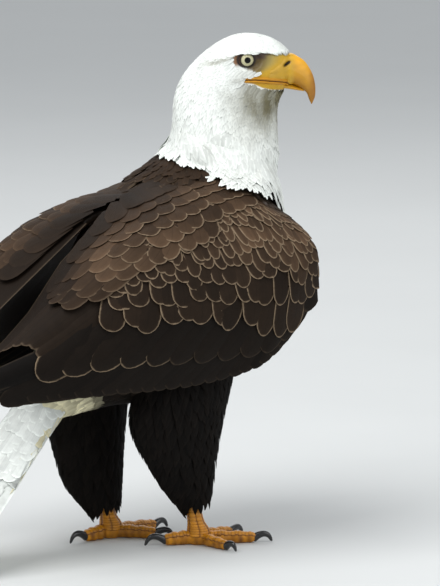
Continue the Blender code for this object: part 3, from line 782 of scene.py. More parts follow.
def spotted(tree, colour, size, amount, detail=3.0):
    """The colour, made lighter and darker by an amount in soft spots of that size in metres."""
    place = add(tree, "TexCoord")
    noise = add(tree, "TexNoise", {"Vector": place.outputs["Object"]}, {"Scale": 1 / size, "Detail": detail})
    shade = add(tree, "MapRange", {"Value": noise},
                {"From Min": 0.3, "From Max": 0.7, "To Min": 1 - amount, "To Max": 1 + amount})
    return add(tree, "VectorMath", {0: colour, 1: shade}, operation="MULTIPLY").outputs["Vector"]


def vane_material(name, rim_colour, rim_width, roughness, barb_depth, barb_gap, shaft, root_shade=1.0):
    """Keratin vane: soft barbs that slant from the shaft to the rim, and a worn paler rim.

    Light catches the barbs as a faint satin grain, and each rim draws a fine line round its vane.
    rim_width and barb_gap are in millimetres, shaft is how bright the shaft is to the vane, and the last
    argument how bright a vane is at its root to its tip: painted shade where the vane above covers its root.
    """
    material, tree, shader = new_material(name, Roughness=roughness, Specular_IOR_Level=0.1)
    tint = add(tree, "Attribute", attribute_name="tint")
    pale = add(tree, "Attribute", attribute_name="pale")
    rim = add(tree, "UVMap", uv_map="rim")
    vane = add(tree, "UVMap", uv_map="vane")
    edge = add(tree, "SeparateXYZ", {"Vector": rim})
    leaf = add(tree, "SeparateXYZ", {"Vector": vane})
    # the rim: full within its width of the edge, gone at about twice that, wavering a little
    place = add(tree, "TexCoord")
    waver = add(tree, "TexNoise", {"Vector": place.outputs["Object"]}, {"Scale": 260.0, "Detail": 2.0})
    nearest = add(tree, "Math", {0: edge.outputs["X"], 1: edge.outputs["Y"]}, operation="MINIMUM")
    strayed = add(tree, "Math", {0: waver, 2: nearest}, {1: rim_width},
                  operation="MULTIPLY_ADD")
    line = add(tree, "MapRange", {"Value": strayed},
               {"From Min": rim_width * 0.55, "From Max": rim_width * 2.1, "To Min": 1.0, "To Max": 0.0},
               interpolation_type="SMOOTHSTEP")
    strength = add(tree, "Math", {0: line, 1: pale.outputs["Fac"]}, operation="MULTIPLY")
    # barbs: waves along (distance to the tip - distance to the side), so they sweep outwards
    slant = add(tree, "Math", {0: edge.outputs["Y"], 1: edge.outputs["X"]}, operation="SUBTRACT")
    turns = add(tree, "Math", {0: slant}, {1: 2 * math.pi / barb_gap}, operation="MULTIPLY")
    wave = add(tree, "Math", {0: turns}, operation="SINE")
    barbs = add(tree, "MapRange", {"Value": wave},
                {"From Min": -1.0, "To Min": 1 - barb_depth, "To Max": 1 + barb_depth * 0.5})
    # the shaft: a narrow line down the middle
    middle = add(tree, "Math", {0: leaf.outputs["X"]}, {1: 0.5}, operation="SUBTRACT")
    away = add(tree, "Math", {0: middle}, operation="ABSOLUTE")
    stem = add(tree, "MapRange", {"Value": away},
               {"From Min": 0.0, "From Max": 0.035, "To Min": shaft, "To Max": 1.0},
               interpolation_type="SMOOTHSTEP")
    grain = add(tree, "Math", {0: barbs, 1: stem}, operation="MULTIPLY")
    # painted shade: each vane is darker towards its root, where the vane above covers it, and darker in its
    # middle than near its rim
    far = add(tree, "MapRange", {"Value": leaf.outputs["Y"]},
              {"From Min": 0.25, "To Min": root_shade, "To Max": 1.0})
    inner = add(tree, "MapRange", {"Value": nearest},
                {"From Min": rim_width, "From Max": rim_width * 4, "To Min": 1.12, "To Max": 0.90})
    depth = add(tree, "Math", {0: far, 1: inner}, operation="MULTIPLY")
    grain = add(tree, "Math", {0: grain, 1: depth}, operation="MULTIPLY")
    base = add(tree, "VectorMath", {0: tint, 1: grain}, operation="MULTIPLY")
    uneven = spotted(tree, base.outputs["Vector"], 0.012, 0.10)
    mixed = add(tree, "Mix", {0: strength, 6: uneven}, {7: (*rim_colour, 1)}, data_type="RGBA")
    tree.links.new(mixed.outputs[2], shader.inputs["Base Color"])
    bump = add(tree, "Bump", {"Height": wave}, {"Strength": 0.2, "Distance": 0.0002})
    tree.links.new(bump.outputs["Normal"], shader.inputs["Normal"])
    return material


def tinted_material(name, grain, bump_depth, amount, **finish):
    """A surface that wears its own markings: its tint attribute in soft spots, over a fine grain.

    grain is the width of the cells of its bump in metres, and amount how strong the spots are.
    """
    material, tree, shader = new_material(name, **finish)
    tint = add(tree, "Attribute", attribute_name="tint")
    tree.links.new(spotted(tree, tint.outputs["Color"], grain * 6, amount), shader.inputs["Base Color"])
    place = add(tree, "TexCoord")
    cells = add(tree, "TexVoronoi", {"Vector": place.outputs["Object"]}, {"Scale": 1 / grain})
    bump = add(tree, "Bump", {"Height": cells.outputs["Distance"]}, {"Strength": 0.5, "Distance": bump_depth})
    tree.links.new(bump.outputs["Normal"], shader.inputs["Normal"])
    return material


# ---- settings
def colour(name, description, value):
    """A colour property from its sRGB hex value."""
    return FloatVectorProperty(name=name, description=description, subtype="COLOR", size=3, min=0, max=1,
                               default=tuple(linear(value)))


def length(name, description, value, low=0.0, high=1.0):
    """A length property in metres."""
    return FloatProperty(name=name, description=description, unit="LENGTH", default=value, min=low, max=high)


class Settings:
    """The values of a property group, its colours as arrays."""

    def __init__(self, group):
        for name in group.__annotations__:
            value = getattr(group, name)
            setattr(self, name, value if isinstance(value, float) else np.array(value))


class EAGLE_PG_plumage(bpy.types.PropertyGroup):
    """Colours and sizes of the feathers."""

    white: colour("White", "Feathers of the head, neck and tail", "#EDF1EC")
    # painted shade: the grey that white feathers take under the jaw, in the crease behind the eye and between
    # the locks
    painted_shade: colour("Painted shade", "Soft shade at the roots of white feathers and under the jaw", "#726D56")
    cream: colour("Cream", "Feathers under the tail", "#DDD6B4")
    brown: colour("Brown", "Middle of the body's and wings' feathers", "#33261B")
    dark: colour("Dark brown", "Breast, belly and the larger wing feathers", "#1F1710")
    golden: colour("Golden brown", "Small feathers of the shoulder", "#5E4937")
    rim: colour("Rim", "Worn pale rim of the brown feathers", "#8E7B64")
    black: colour("Black brown", "Flight feathers and leg feathers", "#110D0A")
    body_depth: length("Body depth", "How thick the coat lies on the trunk", 0.0055, 0.002, 0.02)
    head_depth: length("Head depth", "How thick the coat lies on the head", 0.0024, 0.001, 0.01)
    rim_width: FloatProperty(name="Rim width", description="Pale rim of a brown feather, in millimetres",
                             default=1.7, min=0.2, max=3)


class EAGLE_PG_head(bpy.types.PropertyGroup):
    """Bill, lids and eyes."""

    bill: colour("Bill", "Horn of the bill", "#C48D12")
    # the horn of the hook, and also the colour of the painted shade towards the bill's cutting edge
    bill_tip_and_shade: colour("Bill tip", "Horn at the hook", "#A56C0A")
    cere: colour("Cere", "Soft skin over the bill's root", "#C49A1E")
    gape: colour("Gape", "Soft edge of the mouth", "#BE8412")
    mouth: colour("Mouth line", "Between the lips of the gape", "#3F1A0E")
    lore: colour("Lore", "Bare skin in front of the eye", "#A1904F")
    lore_dark: colour("Dark lore", "Bare skin beside the eye", "#5C4A24")
    lid: colour("Lid", "Rim of the eyelids", "#211A17")
    orbit: colour("Orbit", "Skin behind the eye", "#8C6442")
    # painted shadow: the shade under the brow, over the top of the lid rings and in the hollows of the
    # nostrils
    shadow: colour("Brow shadow", "Skin under the brow", "#3A2A28")
    iris: colour("Iris", "Ring of the eye", "#CBC6A0")
    iris_rim: colour("Iris rim", "Outer edge of the iris", "#6A6240")
    pupil: colour("Pupil", "Middle of the eye", "#050505")


class EAGLE_PG_feet(bpy.types.PropertyGroup):
    """Scutes and claws."""

    scute: colour("Scute", "Plates on the toes and shank", "#C98512")
    crease: colour("Crease", "Skin between the plates", "#6E3F0A")
    claw: colour("Claw", "Horn of the claws", "#101011")


class EAGLE_PG_stage(bpy.types.PropertyGroup):
    """Camera, lights and floor."""

    azimuth: FloatProperty(name="Azimuth", description="Camera's turn round it, in degrees", default=-38)
    elevation: FloatProperty(name="Elevation", description="Camera's rise over level, in degrees", default=10)
    distance: length("Distance", "From the camera to the point it looks at", 12.0, 1, 50)
    view_height: length("View height", "Height that the camera's frame covers", 0.744, 0.1, 5)
    key: FloatProperty(name="Key light", description="Power of the main light in watts", default=80, min=0)
    fill: FloatProperty(name="Fill light", description="Power of the fill light in watts", default=26, min=0)
    sky: FloatProperty(name="Sky", description="Strength of the even light all round", default=0.55, min=0)
    floor: colour("Floor", "Pale floor", "#D9DBDA")


# ---- skin
BROW = 0.0092  # how far above the eye's centre the brow's edge runs


def cere_edge(height):
    """How far ahead the yellow skin over the bill's root begins, from the gape up to the forehead."""
    return np.interp(height, (0.5700, 0.5850, 0.5890, 0.5930, 0.5963, 0.6047, 0.6125, 0.6144),
                     (0.0300, 0.0150, 0.0290, 0.0442, 0.0531, 0.0650, 0.0679, 0.0805))


def lip_height(forward):
    """Height of the mouth's line, from the corner of the gape out to the bill."""
    return np.interp(forward, (0.015, 0.024, 0.034, 0.046, 0.060, 0.067, 0.0785),
                     (0.5842, 0.5848, 0.5848, 0.5837, 0.5817, 0.5804, 0.5770))


def yellow_skin(points, grow=0.0):
    """How deep a place lies within the yellow of gape, cere and chin: metres, below 0 outside."""
    forward, _, height = in_head(points)
    chin = np.interp(forward, (0.015, 0.022, 0.032, 0.044, 0.055), (0.0010, 0.0026, 0.0050, 0.0095, 0.0110))
    above = np.where(height < 0.5925, (forward - cere_edge(height)) * 0.3, forward - cere_edge(height))
    lower = height - (lip_height(forward) - chin)
    over_top = 0.6150 - height
    return np.minimum(np.minimum(above, lower), np.minimum(over_top, forward - 0.0148)) + grow


def bare_face(points, grow=0.0):
    """True where the face has no feathers: round the eye, the lore, and the yellow skin."""
    forward, _, height = in_head(points)
    e, h = forward - EYE[0], height - EYE[2]  # from the eye: ahead and up
    ring = (e / (0.0162 + grow)) ** 2 + (h / (0.0126 + grow)) ** 2 < 1
    low = -0.0118 - 0.16 * e
    lore = (e > 0) & (e < 0.050) & (h > low - grow * 0.5)
    brow = BROW - 0.0032 * smooth(e, 0.026, 0.042)
    return ((ring | lore) & (h < brow + grow * 0.3)) | (yellow_skin(points, grow * 0.6) > 0)


def coat_depth(row, plumage):
    """How thick the coat lies at each ring: thin on the head, thicker down the neck."""
    return plumage.head_depth + (plumage.body_depth - plumage.head_depth) * smooth(row, 6, 12.5)


def face_skin(uv, settings):
    """The head's bare shape: the sweep set in by the coat, then hollowed round the eye.

    Beside the eye, the distance out from the head's middle plane goes over to the plane of the
    eye's rim, inside an ellipse about the eye that stops at the brow. The brow stands out by a
    bell over its edge, and the lore sinks by a shallow bell in front of the eye.
    """
    here, _, _, normal = BODY_SURFACE.frame(uv)
    points = here - normal * coat_depth(uv[..., 0] * LAST_ROW, settings)[..., None]
    forward, left, height = in_head(points)
    e, h = forward - EYE[0], height - EYE[2]
    out = np.abs(left)
    side = smooth(out, 0.010, 0.018)
    reach = np.sqrt((e / np.where(e > 0, 1.25, 1.0)) ** 2 + (h / 0.88) ** 2)
    socket = (1 - smooth(reach, 0.0125, 0.0180)) * (1 - smooth(h, BROW - 0.0012, BROW + 0.0006)) * side
    target = 0.0262 - 0.10 * e
    wanted = out + (target - out) * socket
    brow = np.exp(-((h - BROW - 0.0022) / 0.0026) ** 2)
    brow = brow * smooth(e, -0.020, -0.006) * (1 - smooth(e, 0.030, 0.046))
    lore = np.exp(-((e - 0.024) / 0.012) ** 2 - ((h + 0.001) / 0.008) ** 2)
    wanted = wanted + (0.0022 * brow - 0.0016 * lore * (1 - socket)) * side
    wanted = wanted - 0.0045 * nostril(forward, height)
    return ahead(forward, height, np.sign(left) * wanted)


def face_tints(points, plumage, head):
    """Colours of the head's skin: white under feathers, olive lore, painted shade under the brow and in the
    nostrils, yellow cere and lips.
    """
    forward, left, height = in_head(points)
    e, h = forward - EYE[0], height - EYE[2]
    tint = np.broadcast_to(plumage.white * 0.95, points.shape).copy()
    near = 1 - smooth(np.sqrt(e**2 + (h / 0.8) ** 2), 0.016, 0.036)
    lore = smooth(e, 0.004, 0.010) * (1 - smooth(-h, 0.0120 + 0.16 * e, 0.0150 + 0.16 * e))
    lore = lore * (1 - smooth(h, BROW, BROW + 0.003)) * smooth(np.abs(left), 0.006, 0.012)
    tint = blend(tint, blend(head.lore, head.lore_dark, near), lore)
    ring = 1 - smooth(np.sqrt(e**2 + (h / 0.8) ** 2), 0.0155, 0.0185)
    tint = blend(tint, head.lore_dark * 0.9, ring * smooth(e, -0.004, 0.006))
    tint = blend(tint, head.orbit, ring * (1 - smooth(e, -0.010, 0.0)) * (1 - smooth(-h, 0.004, 0.010)))
    tint = blend(tint, head.lid, 1 - smooth(np.sqrt(e**2 + (h / 0.85) ** 2), 0.0116, 0.0134))
    # the brow's shade: a band under its edge, deepest in a patch in front of the eye
    patch = np.exp(-(((e - 0.0175) / 0.0085) ** 4) - ((h - 0.0050) / 0.0048) ** 4)
    band = (1 - smooth(np.abs(h - BROW + 0.0016), 0.0016, 0.0036)) * smooth(e, -0.014, -0.008)
    shade = np.maximum(patch * 0.85, band * (1 - smooth(e, 0.024, 0.036)) * 0.9)
    tint = blend(tint, head.shadow, shade * smooth(np.abs(left), 0.012, 0.018))
    lips = np.exp(-(((height - lip_height(forward)) / 0.0042) ** 2))
    yellow = blend(head.cere, head.gape, lips)
    fade = smooth(yellow_skin(points), -0.018, 0.001) ** 1.5 * lore
    tint = blend(tint, yellow, np.maximum(smooth(yellow_skin(points), -0.0008, 0.0006), fade))
    # painted shade in the hollow of the nostril
    tint = blend(tint, head.shadow * 0.2, np.clip(nostril(forward, height) * 1.6, 0, 1))
    line = 1 - smooth(np.abs(height - lip_height(forward)), 0.0005, 0.0011)
    return blend(tint, head.mouth, line * smooth(forward, 0.0145, 0.0165))


def lids(side, head):
    """The rim round an eye: a rounded roll turned about the eye's axis, from its edge to the skin."""
    axis, up, cross = eye_axes(side)
    centre = ahead(EYE[0], EYE[2], EYE[1] * side)
    angle = np.linspace(0, 2 * math.pi, 49)[:-1]
    profile = np.array([(44, 0.01140), (45, 0.01195), (48, 0.01245), (53, 0.01262), (59, 0.01245),
                        (66, 0.01190), (74, 0.01110), (84, 0.01000)])
    theta = np.radians(profile[:, 0])[:, None]
    squeeze = 1 - 0.06 * np.abs(np.sin(angle)) ** 3  # the opening is a little lower than it is long
    sine = np.sin(theta) * squeeze
    radial = np.cos(angle)[None, :, None] * cross + np.sin(angle)[None, :, None] * up
    rings = np.cos(theta)[..., None] * axis + sine[..., None] * radial
    rings = centre + profile[:, 1][:, None, None] * rings
    inner = centre + (rings - centre) * 0.90
    loop = np.concatenate([rings, inner[::-1]])
    points = loop.reshape(-1, 3)
    faces = grid_faces(len(loop), 48, closed=True)
    last = (len(loop) - 1) * 48 + np.arange(48)
    close = np.stack([last, (len(loop) - 1) * 48 + (np.arange(48) + 1) % 48, (np.arange(48) + 1) % 48,
                      np.arange(48)], -1)
    faces = outward(points, np.concatenate([faces, close]))
    place = np.concatenate([profile[:, 0], profile[::-1, 0]])[:, None] + 0 * angle
    behind = smooth(-np.cos(angle), 0.1, 0.9)[None]
    skin = blend(head.lore_dark, head.orbit, behind + 0 * place)
    # painted shade from the brow over the top of the lid ring
    skin = blend(skin, head.shadow, smooth(np.sin(angle), 0.3, 0.9)[None] + 0 * place)
    tints = blend(np.broadcast_to(head.lid, skin.shape), skin, smooth(place, 50, 62))
    return points, faces, tints.reshape(-1, 3)


def eye_axes(side):
    """The way an eye looks, a little forward of straight out, with its up and its forward."""
    turn = HEAD_TURN + side * math.pi / 2 - side * math.radians(9)
    axis = np.array([math.cos(turn), math.sin(turn), 0.0])
    up = np.array([0.0, 0.0, 1.0])
    return axis, up, np.cross(up, axis) * -side


def gape_roll(side, drop, radius, start, tint, settings):
    """One soft lip: a thin roll laid along the mouth's line, tapering to the corner of the gape."""
    forward = np.linspace(start, 0.0760, 30)
    height = lip_height(forward) + drop * smooth(forward, start, start + 0.006)
    out = face_width(forward, height, settings) - radius * 0.15
    line = ahead(forward, height, out * side)
    size = radius * (0.25 + 0.75 * smooth(forward, start, start + 0.008))
    along = unit(np.gradient(line, axis=0))
    up = np.array([0.0, 0.0, 1.0])
    left = unit(np.cross(up, along))
    angle = np.linspace(0, 2 * math.pi, 13)[:-1]
    rings = line[:, None] + size[:, None, None] * (np.cos(angle)[None, :, None] * left[:, None]
                                                   + np.sin(angle)[None, :, None] * up * 0.8)
    return *tube(rings), tint


def face_width(forward, height, settings):
    """How far out the head's skin lies at places ahead and up: the mean of its nearest samples."""
    u, v = np.meshgrid(np.linspace(0, 8 / LAST_ROW, 90), np.linspace(0.08, 0.44, 90))
    points = face_skin(np.stack([u, v], -1), settings).reshape(-1, 3)
    there, left, high = in_head(points)
    gap = (there[None] - forward[:, None]) ** 2 + (high[None] - height[:, None]) ** 2
    weight = 1 / (gap + 4e-7) ** 2
    return (weight * np.abs(left)).sum(1) / weight.sum(1)


def hackle_plane():
    """A point on the line where white gives way to brown, and the way to the white side."""
    back = body_at(np.array([13.8 / LAST_ROW, 0.5]))
    front = body_at(np.array([14.1 / LAST_ROW, 0.0]))
    left = np.array([-math.sin(HEAD_TURN), math.cos(HEAD_TURN), 0])
    return back, unit(np.cross(front - back, left))


def markings(points, plumage, feet):
    """Colours of the skin below the head: the same fields as the coat that lies over it."""
    tint = blend(plumage.brown, plumage.dark, smooth(0.36 - points[:, 2], -0.03, 0.06))
    place, white_side = hackle_plane()
    tint = blend(tint, plumage.white * 0.85, smooth((points - place) @ white_side, -0.001, 0.001))
    tint = blend(tint, plumage.black, 1 - smooth(points[:, 2], 0.225, 0.245))
    beyond = (points - TAIL_ROOT) @ TAIL_BACK
    level = np.abs((points - TAIL_ROOT) @ TAIL_UP)
    on_tail = smooth(beyond, -0.012, 0.0) * (1 - smooth(level, 0.03, 0.04))
    tint = blend(tint, plumage.white * 0.85, on_tail)
    return blend(tint, feet.crease, 1 - smooth(points[:, 2], 0.078, 0.090))


def fused(parts, cell):
    """Overlapping closed shapes as one shell of quads, by a voxel remesh with cells of that size."""
    points, faces, _ = joined(parts)
    rough = new_piece("rough", points, faces, None)
    remesh = rough.modifiers.new("fuse", "REMESH")
    remesh.mode = "VOXEL"
    remesh.voxel_size = cell
    graph = bpy.context.evaluated_depsgraph_get()
    mesh = bpy.data.meshes.new_from_object(rough.evaluated_get(graph))
    made = np.empty(len(mesh.vertices) * 3, np.float32)
    mesh.vertices.foreach_get("co", made)
    corners = np.empty(len(mesh.loops), np.int32)
    mesh.loops.foreach_get("vertex_index", corners)
    bpy.data.objects.remove(rough, do_unlink=True)
    bpy.data.meshes.remove(mesh)
    return made.reshape(-1, 3).astype(float) - SHIFT, corners.reshape(-1, 4)


def ring_grid(surface, u, sides, inset):
    """Rings of a surface at each u, set in along its normal."""
    here, _, _, normal = surface.frame(pairs(u, np.arange(sides) / sides))
    return here - normal * np.broadcast_to(inset, u.shape)[:, None, None]


def flesh(side_name, settings):
    """The closed shapes under one wing's and one leg's coat, ready to be fused with the trunk."""
    u, v = np.linspace(0.03, 0.72, 44), np.linspace(0.05, 0.92, 22)
    here, _, _, normal = WING_SURFACES[side_name].frame(pairs(u, v))
    outer = here - normal * (settings.body_depth + 0.0055)
    thick = 0.006 + 0.020 * (1 - u[:, None]) ** 1.4 * np.sqrt(np.sin(math.pi * v))[None]
    wing = slab(outer, outer - normal * thick[..., None])
    leg = tube(ring_grid(THIGH_SURFACES[side_name], np.linspace(0, 0.97, 30), 28, settings.body_depth * 0.9))
    return [(*wing, 0), (*leg, 0)]


def foot_shapes(side_name):
    """The shank and four toes of one foot as closed shapes, just under their plates."""
    side = SIDES[side_name]
    shank = Surface(lambda uv: tarsus_at(uv, side), side, FOOT_CHARTS[side_name])
    shapes = [tube(ring_grid(shank, np.linspace(0, 1, 40), 24, 0.0004))]
    for name in TOE_NAMES:
        toe = Surface(lambda uv, toe=name: toe_at(uv, side_name, toe), -1, FOOT_CHARTS[side_name])
        shapes.append(tube(ring_grid(toe, np.linspace(0, 1, 30), 20, 0.0004)))
    return [(np.maximum(points, (-9, -9, 0.0)), faces, 0) for points, faces in shapes]


def make_skin(scene):
    """One skin for the whole bird: trunk, wings and legs fused, with finer head, lids and feet."""
    groups = (scene.eagle_plumage, scene.eagle_head, scene.eagle_feet)
    plumage, head, feet = (Settings(group) for group in groups)
    u = np.linspace(7.4, LAST_ROW, 70) / LAST_ROW
    trunk = tube(ring_grid(BODY_SURFACE, u, 64, coat_depth(u * LAST_ROW, plumage)))
    rump = tube(ring_grid(RUMP, np.linspace(-0.12, 0.62, 24), 28, 0.0022))
    parts = [(*trunk, 0), (*rump, 0)]
    for name in SIDES:
        parts += flesh(name, plumage)
    body_points, body_faces = fused(parts, BODY_CELL)
    pieces = [(body_points, body_faces, markings(body_points, plumage, feet))]
    shapes = foot_shapes("right") + foot_shapes("left")
    foot_points, foot_faces = fused(shapes, FOOT_CELL)
    foot_points[:, 2] = np.maximum(foot_points[:, 2], 0)
    scute = blend(feet.crease, feet.scute, 0.6 + 0.4 * ripple(foot_points, 0.012, 3))
    pieces.append((foot_points, foot_faces, scute))
    face = pairs(np.linspace(0.0, 8.0 / LAST_ROW, 120), np.arange(160) / 160)
    points, faces = tube(face_skin(face, plumage))
    pieces.append((points, faces, face_tints(points, plumage, head)))
    for side in SIDES.values():
        pieces.append(lids(side, head))
        pieces.append(gape_roll(side, 0.0022, 0.0024, 0.0152, head.gape, plumage))
        pieces.append(gape_roll(side, -0.0020, 0.0021, 0.0162, head.gape, plumage))
        pieces.append(gape_roll(side, 0.0001, 0.0010, 0.0150, head.mouth, plumage))
    points, faces, tints = joined(pieces)
    material = tinted_material("bird_skin", 0.0009, 0.0002, 0.06, Roughness=0.5, Specular_IOR_Level=0.4)
    skin = new_piece("skin", points, faces, material, tints)
    flesh_nodes = ["head", "neck", "trunk", "tail"]
    for name in SIDES:
        flesh_nodes += [f"wing_{name}", f"thigh_{name}", f"tarsus_{name}"]
        flesh_nodes += [f"toe_{name}_{toe}" for toe in TOE_NAMES]
    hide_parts(*flesh_nodes)
    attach(skin, "root")


# ---- plumage
def march(surface, start, end, exposure, v):
    """Values of u from start to end whose steps along the surface at v equal the exposure there."""
    values, u = [], start
    while u < end:
        values.append(u)
        here = surface.place(np.array([[u, v], [u + 1e-3, v]]))
        u += exposure(u) / max(np.linalg.norm(here[1] - here[0]) / 1e-3, 1e-6)
    return np.array(values)


def head_plumage(scene):
    """White feathers of head and neck: tiny on the face, longer down the neck, pointed at its foot."""
    plumage = Settings(scene.eagle_plumage)
    white, painted_shade = plumage.white, plumage.painted_shade
    # ring, exposure, gap, length and width in millimetres
    table = np.array([(0, 1.4, 1.4, 5.5, 2.8), (2, 1.9, 1.7, 7.5, 3.5), (4, 2.5, 2.1, 10.5, 4.4),
                      (6, 3.2, 2.6, 15, 6.2), (8, 4.2, 3.2, 22, 7.8), (10, 5.4, 3.8, 29, 9.6),
                      (12, 6.4, 4.6, 34, 11.5), (14, 7.0, 5.2, 36, 13.0)])

    def sized(row, column):
        return np.interp(row, table[:, 0], table[:, column]) / 1000

    material = vane_material("white_feather_keratin", plumage.white, 0.7, 0.8, 0.03, 1.1, 0.98, 0.93)
    coats = [("head_feathers", 0.0, 8.0, 11, SMALL_END), ("neck_feathers", 8.0, 13.5, 12, LANCE_END)]
    for name, first, last, seed, shape in coats:
        coat = Coat(seed)
        rows = march(BODY_SURFACE, first / LAST_ROW, last / LAST_ROW, lambda u: sized(u * LAST_ROW, 1), 0.32)
        gap, exposure = sized(rows * LAST_ROW, 2), sized(rows * LAST_ROW, 1)
        roots = roots_round(BODY_SURFACE, rows, gap, coat.rng, exposure)
        here, along, _, _ = BODY_SURFACE.frame(roots)
        size = sized(roots[:, 0] * LAST_ROW, 3)
        tip = here + unit(along) * size[:, None]
        clear = ~(bare_face(here, 0.0003) | bare_face(tip, 0.0012) | bare_face((here + tip) / 2, 0.0008))
        roots, here, along, size = roots[clear], here[clear], along[clear], size[clear]
        row = roots[:, 0] * LAST_ROW
        forward, _, height = in_head(here + unit(along) * size[:, None] / 2)
        # painted shade under the jaw and down the throat, fading towards the back of the neck, with a little
        # grey at random
        under_jaw = smooth(height, 0.582, 0.572) * smooth(height, 0.490, 0.565)
        under_jaw = under_jaw * smooth(forward, -0.020, 0.050)
        shade = 0.02 + 0.95 * under_jaw * (0.95 + 0.15 * ripple(here * (1, 1, 0.3), 0.015, 7))
        shade += 0.05 * coat.rng.random(len(roots)) + 0.06 * ripple(here, 0.03, 8)
        # painted shade in a soft grey crease that runs back from the eye; the feathers below the eye are
        # greyer too
        forward, _, height = in_head(here)
        e, h = forward - EYE[0], height - EYE[2]
        crease = np.exp(-(((h - 0.0088 - 0.11 * e) / 0.0026) ** 2))
        crease = crease * smooth(e, -0.052, -0.030) * smooth(e, -0.008, -0.012)
        below_eye = np.exp(-(((e - 0.004) / 0.014) ** 2) - ((h + 0.0165) / 0.0045) ** 2)
        tint = blend(white, painted_shade, np.clip(shade + 0.55 * crease + 0.45 * below_eye, 0, 1))
        lie = unit(along) + np.array([0, 0, -0.35]) * smooth(row, 5, 9)[:, None]
        coat.lay(BODY_SURFACE, roots, size, sized(row, 4), lie=lie, shape=shape,
                 depth=coat_depth(row, plumage) * 0.96, lift=0.0002 + 0.0003 * smooth(row, 4, 12),
                 camber=0.03, thickness=0.0003, tint=tint, pale=0.25 * (1 - smooth(shade, 0.05, 0.4)),
                 order=0.0018 * smooth(row, 10.5, 12.5), wander=3 + 3 * smooth(row.mean(), 8, 10))
        if name == "neck_feathers":
            hackles(coat, plumage)
        coat.piece(name, material)


def hackles(coat, plumage):
    """Long pointed white feathers that fall from the neck over the shoulders, in ragged locks."""
    white, painted_shade = plumage.white, plumage.painted_shade
    rows = march(CAPE, -0.05, 1.0, lambda _: 0.0075, 0.75)
    roots = roots_round(CAPE, rows, 0.0050, coat.rng, 0.0075)
    here, along, _, _ = CAPE.frame(roots)
    size = coat.rng.normal(0.032, 0.003, len(roots))
    end = roots[:, 0] + size / np.linalg.norm(along, axis=-1)
    fold = np.abs(roots[:, 1] - 0.5)
    foot = 0.80 - 0.10 * smooth(fold, 0.12, 0.05) - 0.12 * smooth(fold, 0.36, 0.46)
    foot -= 0.10 * (roots[:, 1] % 1 < 0.5) * smooth(fold, 0.02, 0.10) * smooth(fold, 0.46, 0.34)
    kept = end < foot + 0.12 * ripple(here * (1, 1, 0), 0.026, 14)
    roots, size, here, fold = (values[kept] for values in (roots, size, here, fold))
    # painted shade: the locks are greyer at random and in soft waves
    shade = 0.04 + 0.08 * coat.rng.random(len(roots)) + 0.10 * ripple(here, 0.02, 3)
    # over the shoulders the locks lie on top of the wing's own feathers
    over_wing = smooth(roots[:, 0], 0.0, 0.35) * smooth(fold, 0.03, 0.15) * smooth(fold, 0.46, 0.36)
    coat.lay(CAPE, roots, size, 0.0105, shape=LANCE_END, depth=0.004, lift=0.0012, camber=0.03,
             thickness=0.0004, tint=blend(white, painted_shade, shade.clip(0, 1)), pale=0.4, wander=9,
             order=0.0004 + 0.0064 * over_wing)


def body_plumage(scene):
    """Brown feathers of mantle, breast, belly and rump, left out where a wing or leg covers them."""
    plumage = Settings(scene.eagle_plumage)
    brown, dark = plumage.brown, plumage.dark
    coat = Coat(21)
    table = np.array([(12, 10, 7, 34, 11), (14, 11, 8, 36, 13), (16, 14, 11, 40, 19), (19, 15, 12, 42, 20),
                      (22, 13, 10, 40, 17)])

    def sized(row, column):
        return np.interp(row, table[:, 0], table[:, column]) / 1000

    rows = march(BODY_SURFACE, 12.4 / LAST_ROW, 21.8 / LAST_ROW, lambda u: sized(u * LAST_ROW, 1), 0.0)
    gap, exposure = sized(rows * LAST_ROW, 2), sized(rows * LAST_ROW, 1)
    roots = roots_round(BODY_SURFACE, rows, gap, coat.rng, exposure)
    here = BODY_SURFACE.place(roots)
    row = roots[:, 0] * LAST_ROW
    fold = np.abs(roots[:, 1] % 1 - 0.5) * 2
    keep = row > np.interp(fold, (0, 0.17, 0.5, 0.83, 1), (13.8, 13.8, 14.0, 14.3, 13.7))
    keep &= ~((row > 15.2) & (row < 20.5) & (fold > 0.12) & (fold < 0.66))
    keep &= ~((row > 17.0) & (fold < 0.5) & (here[:, 2] > 0.28))
    roots, here, row, fold = roots[keep], here[keep], row[keep], fold[keep]
    belly = smooth(row, 17, 20)
    tint = blend(blend(dark, brown, smooth(0.75 - fold, 0.0, 0.3)), plumage.black, belly * 0.7)
    rear = smooth(row, 20.6, 21.2)
    tint = blend(tint, plumage.cream, rear)
    tint = coat.varied(tint, 0.18, len(roots))
    coat.lay(BODY_SURFACE, roots, sized(row, 3), sized(row, 4), depth=plumage.body_depth * 0.96, lift=0.0010,
             shape=ROUND_END, camber=0.09, thickness=0.0007, tint=tint,
             pale=0.55 * (1 - belly) * (1 - rear) * smooth(row, 14, 17), wander=6)
    # mantle: rows over the back that lie from wing to wing
    rows = march(MANTLE, -0.06, 0.34, lambda _: 0.016, 0.5)
    roots = roots_round(MANTLE, rows, 0.015, coat.rng, 0.016)
    tint = coat.varied(blend(dark, brown, 0.75), 0.14, len(roots))
    coat.lay(MANTLE, roots, 0.048, 0.024, depth=0.003, lift=0.0014, shape=BROAD_END,
             columns=FIVE_ACROSS, camber=0.03, tint=tint, pale=0.6 * (1 - smooth(roots[:, 0], 0.20, 0.34)),
             wander=4, order=-0.0005)
    material = vane_material("brown_feather_keratin", plumage.rim, plumage.rim_width * 0.8, 0.7, 0.05, 1.1,
                             0.85, 0.75)
    coat.piece("body_feathers", material)


def row_line(s, share):
    """v of a line of coverts along the wing: a share of the height at which they hang level."""
    table = ((-0.05, 0.0, 0.1, 0.2, 0.3, 0.4, 0.5, 0.6, 0.75, 1.0),
             (1.38, 1.30, 1.15, 1.00, 0.87, 0.80, 0.74, 0.67, 0.58, 0.50))
    return share * np.interp(s, *table)


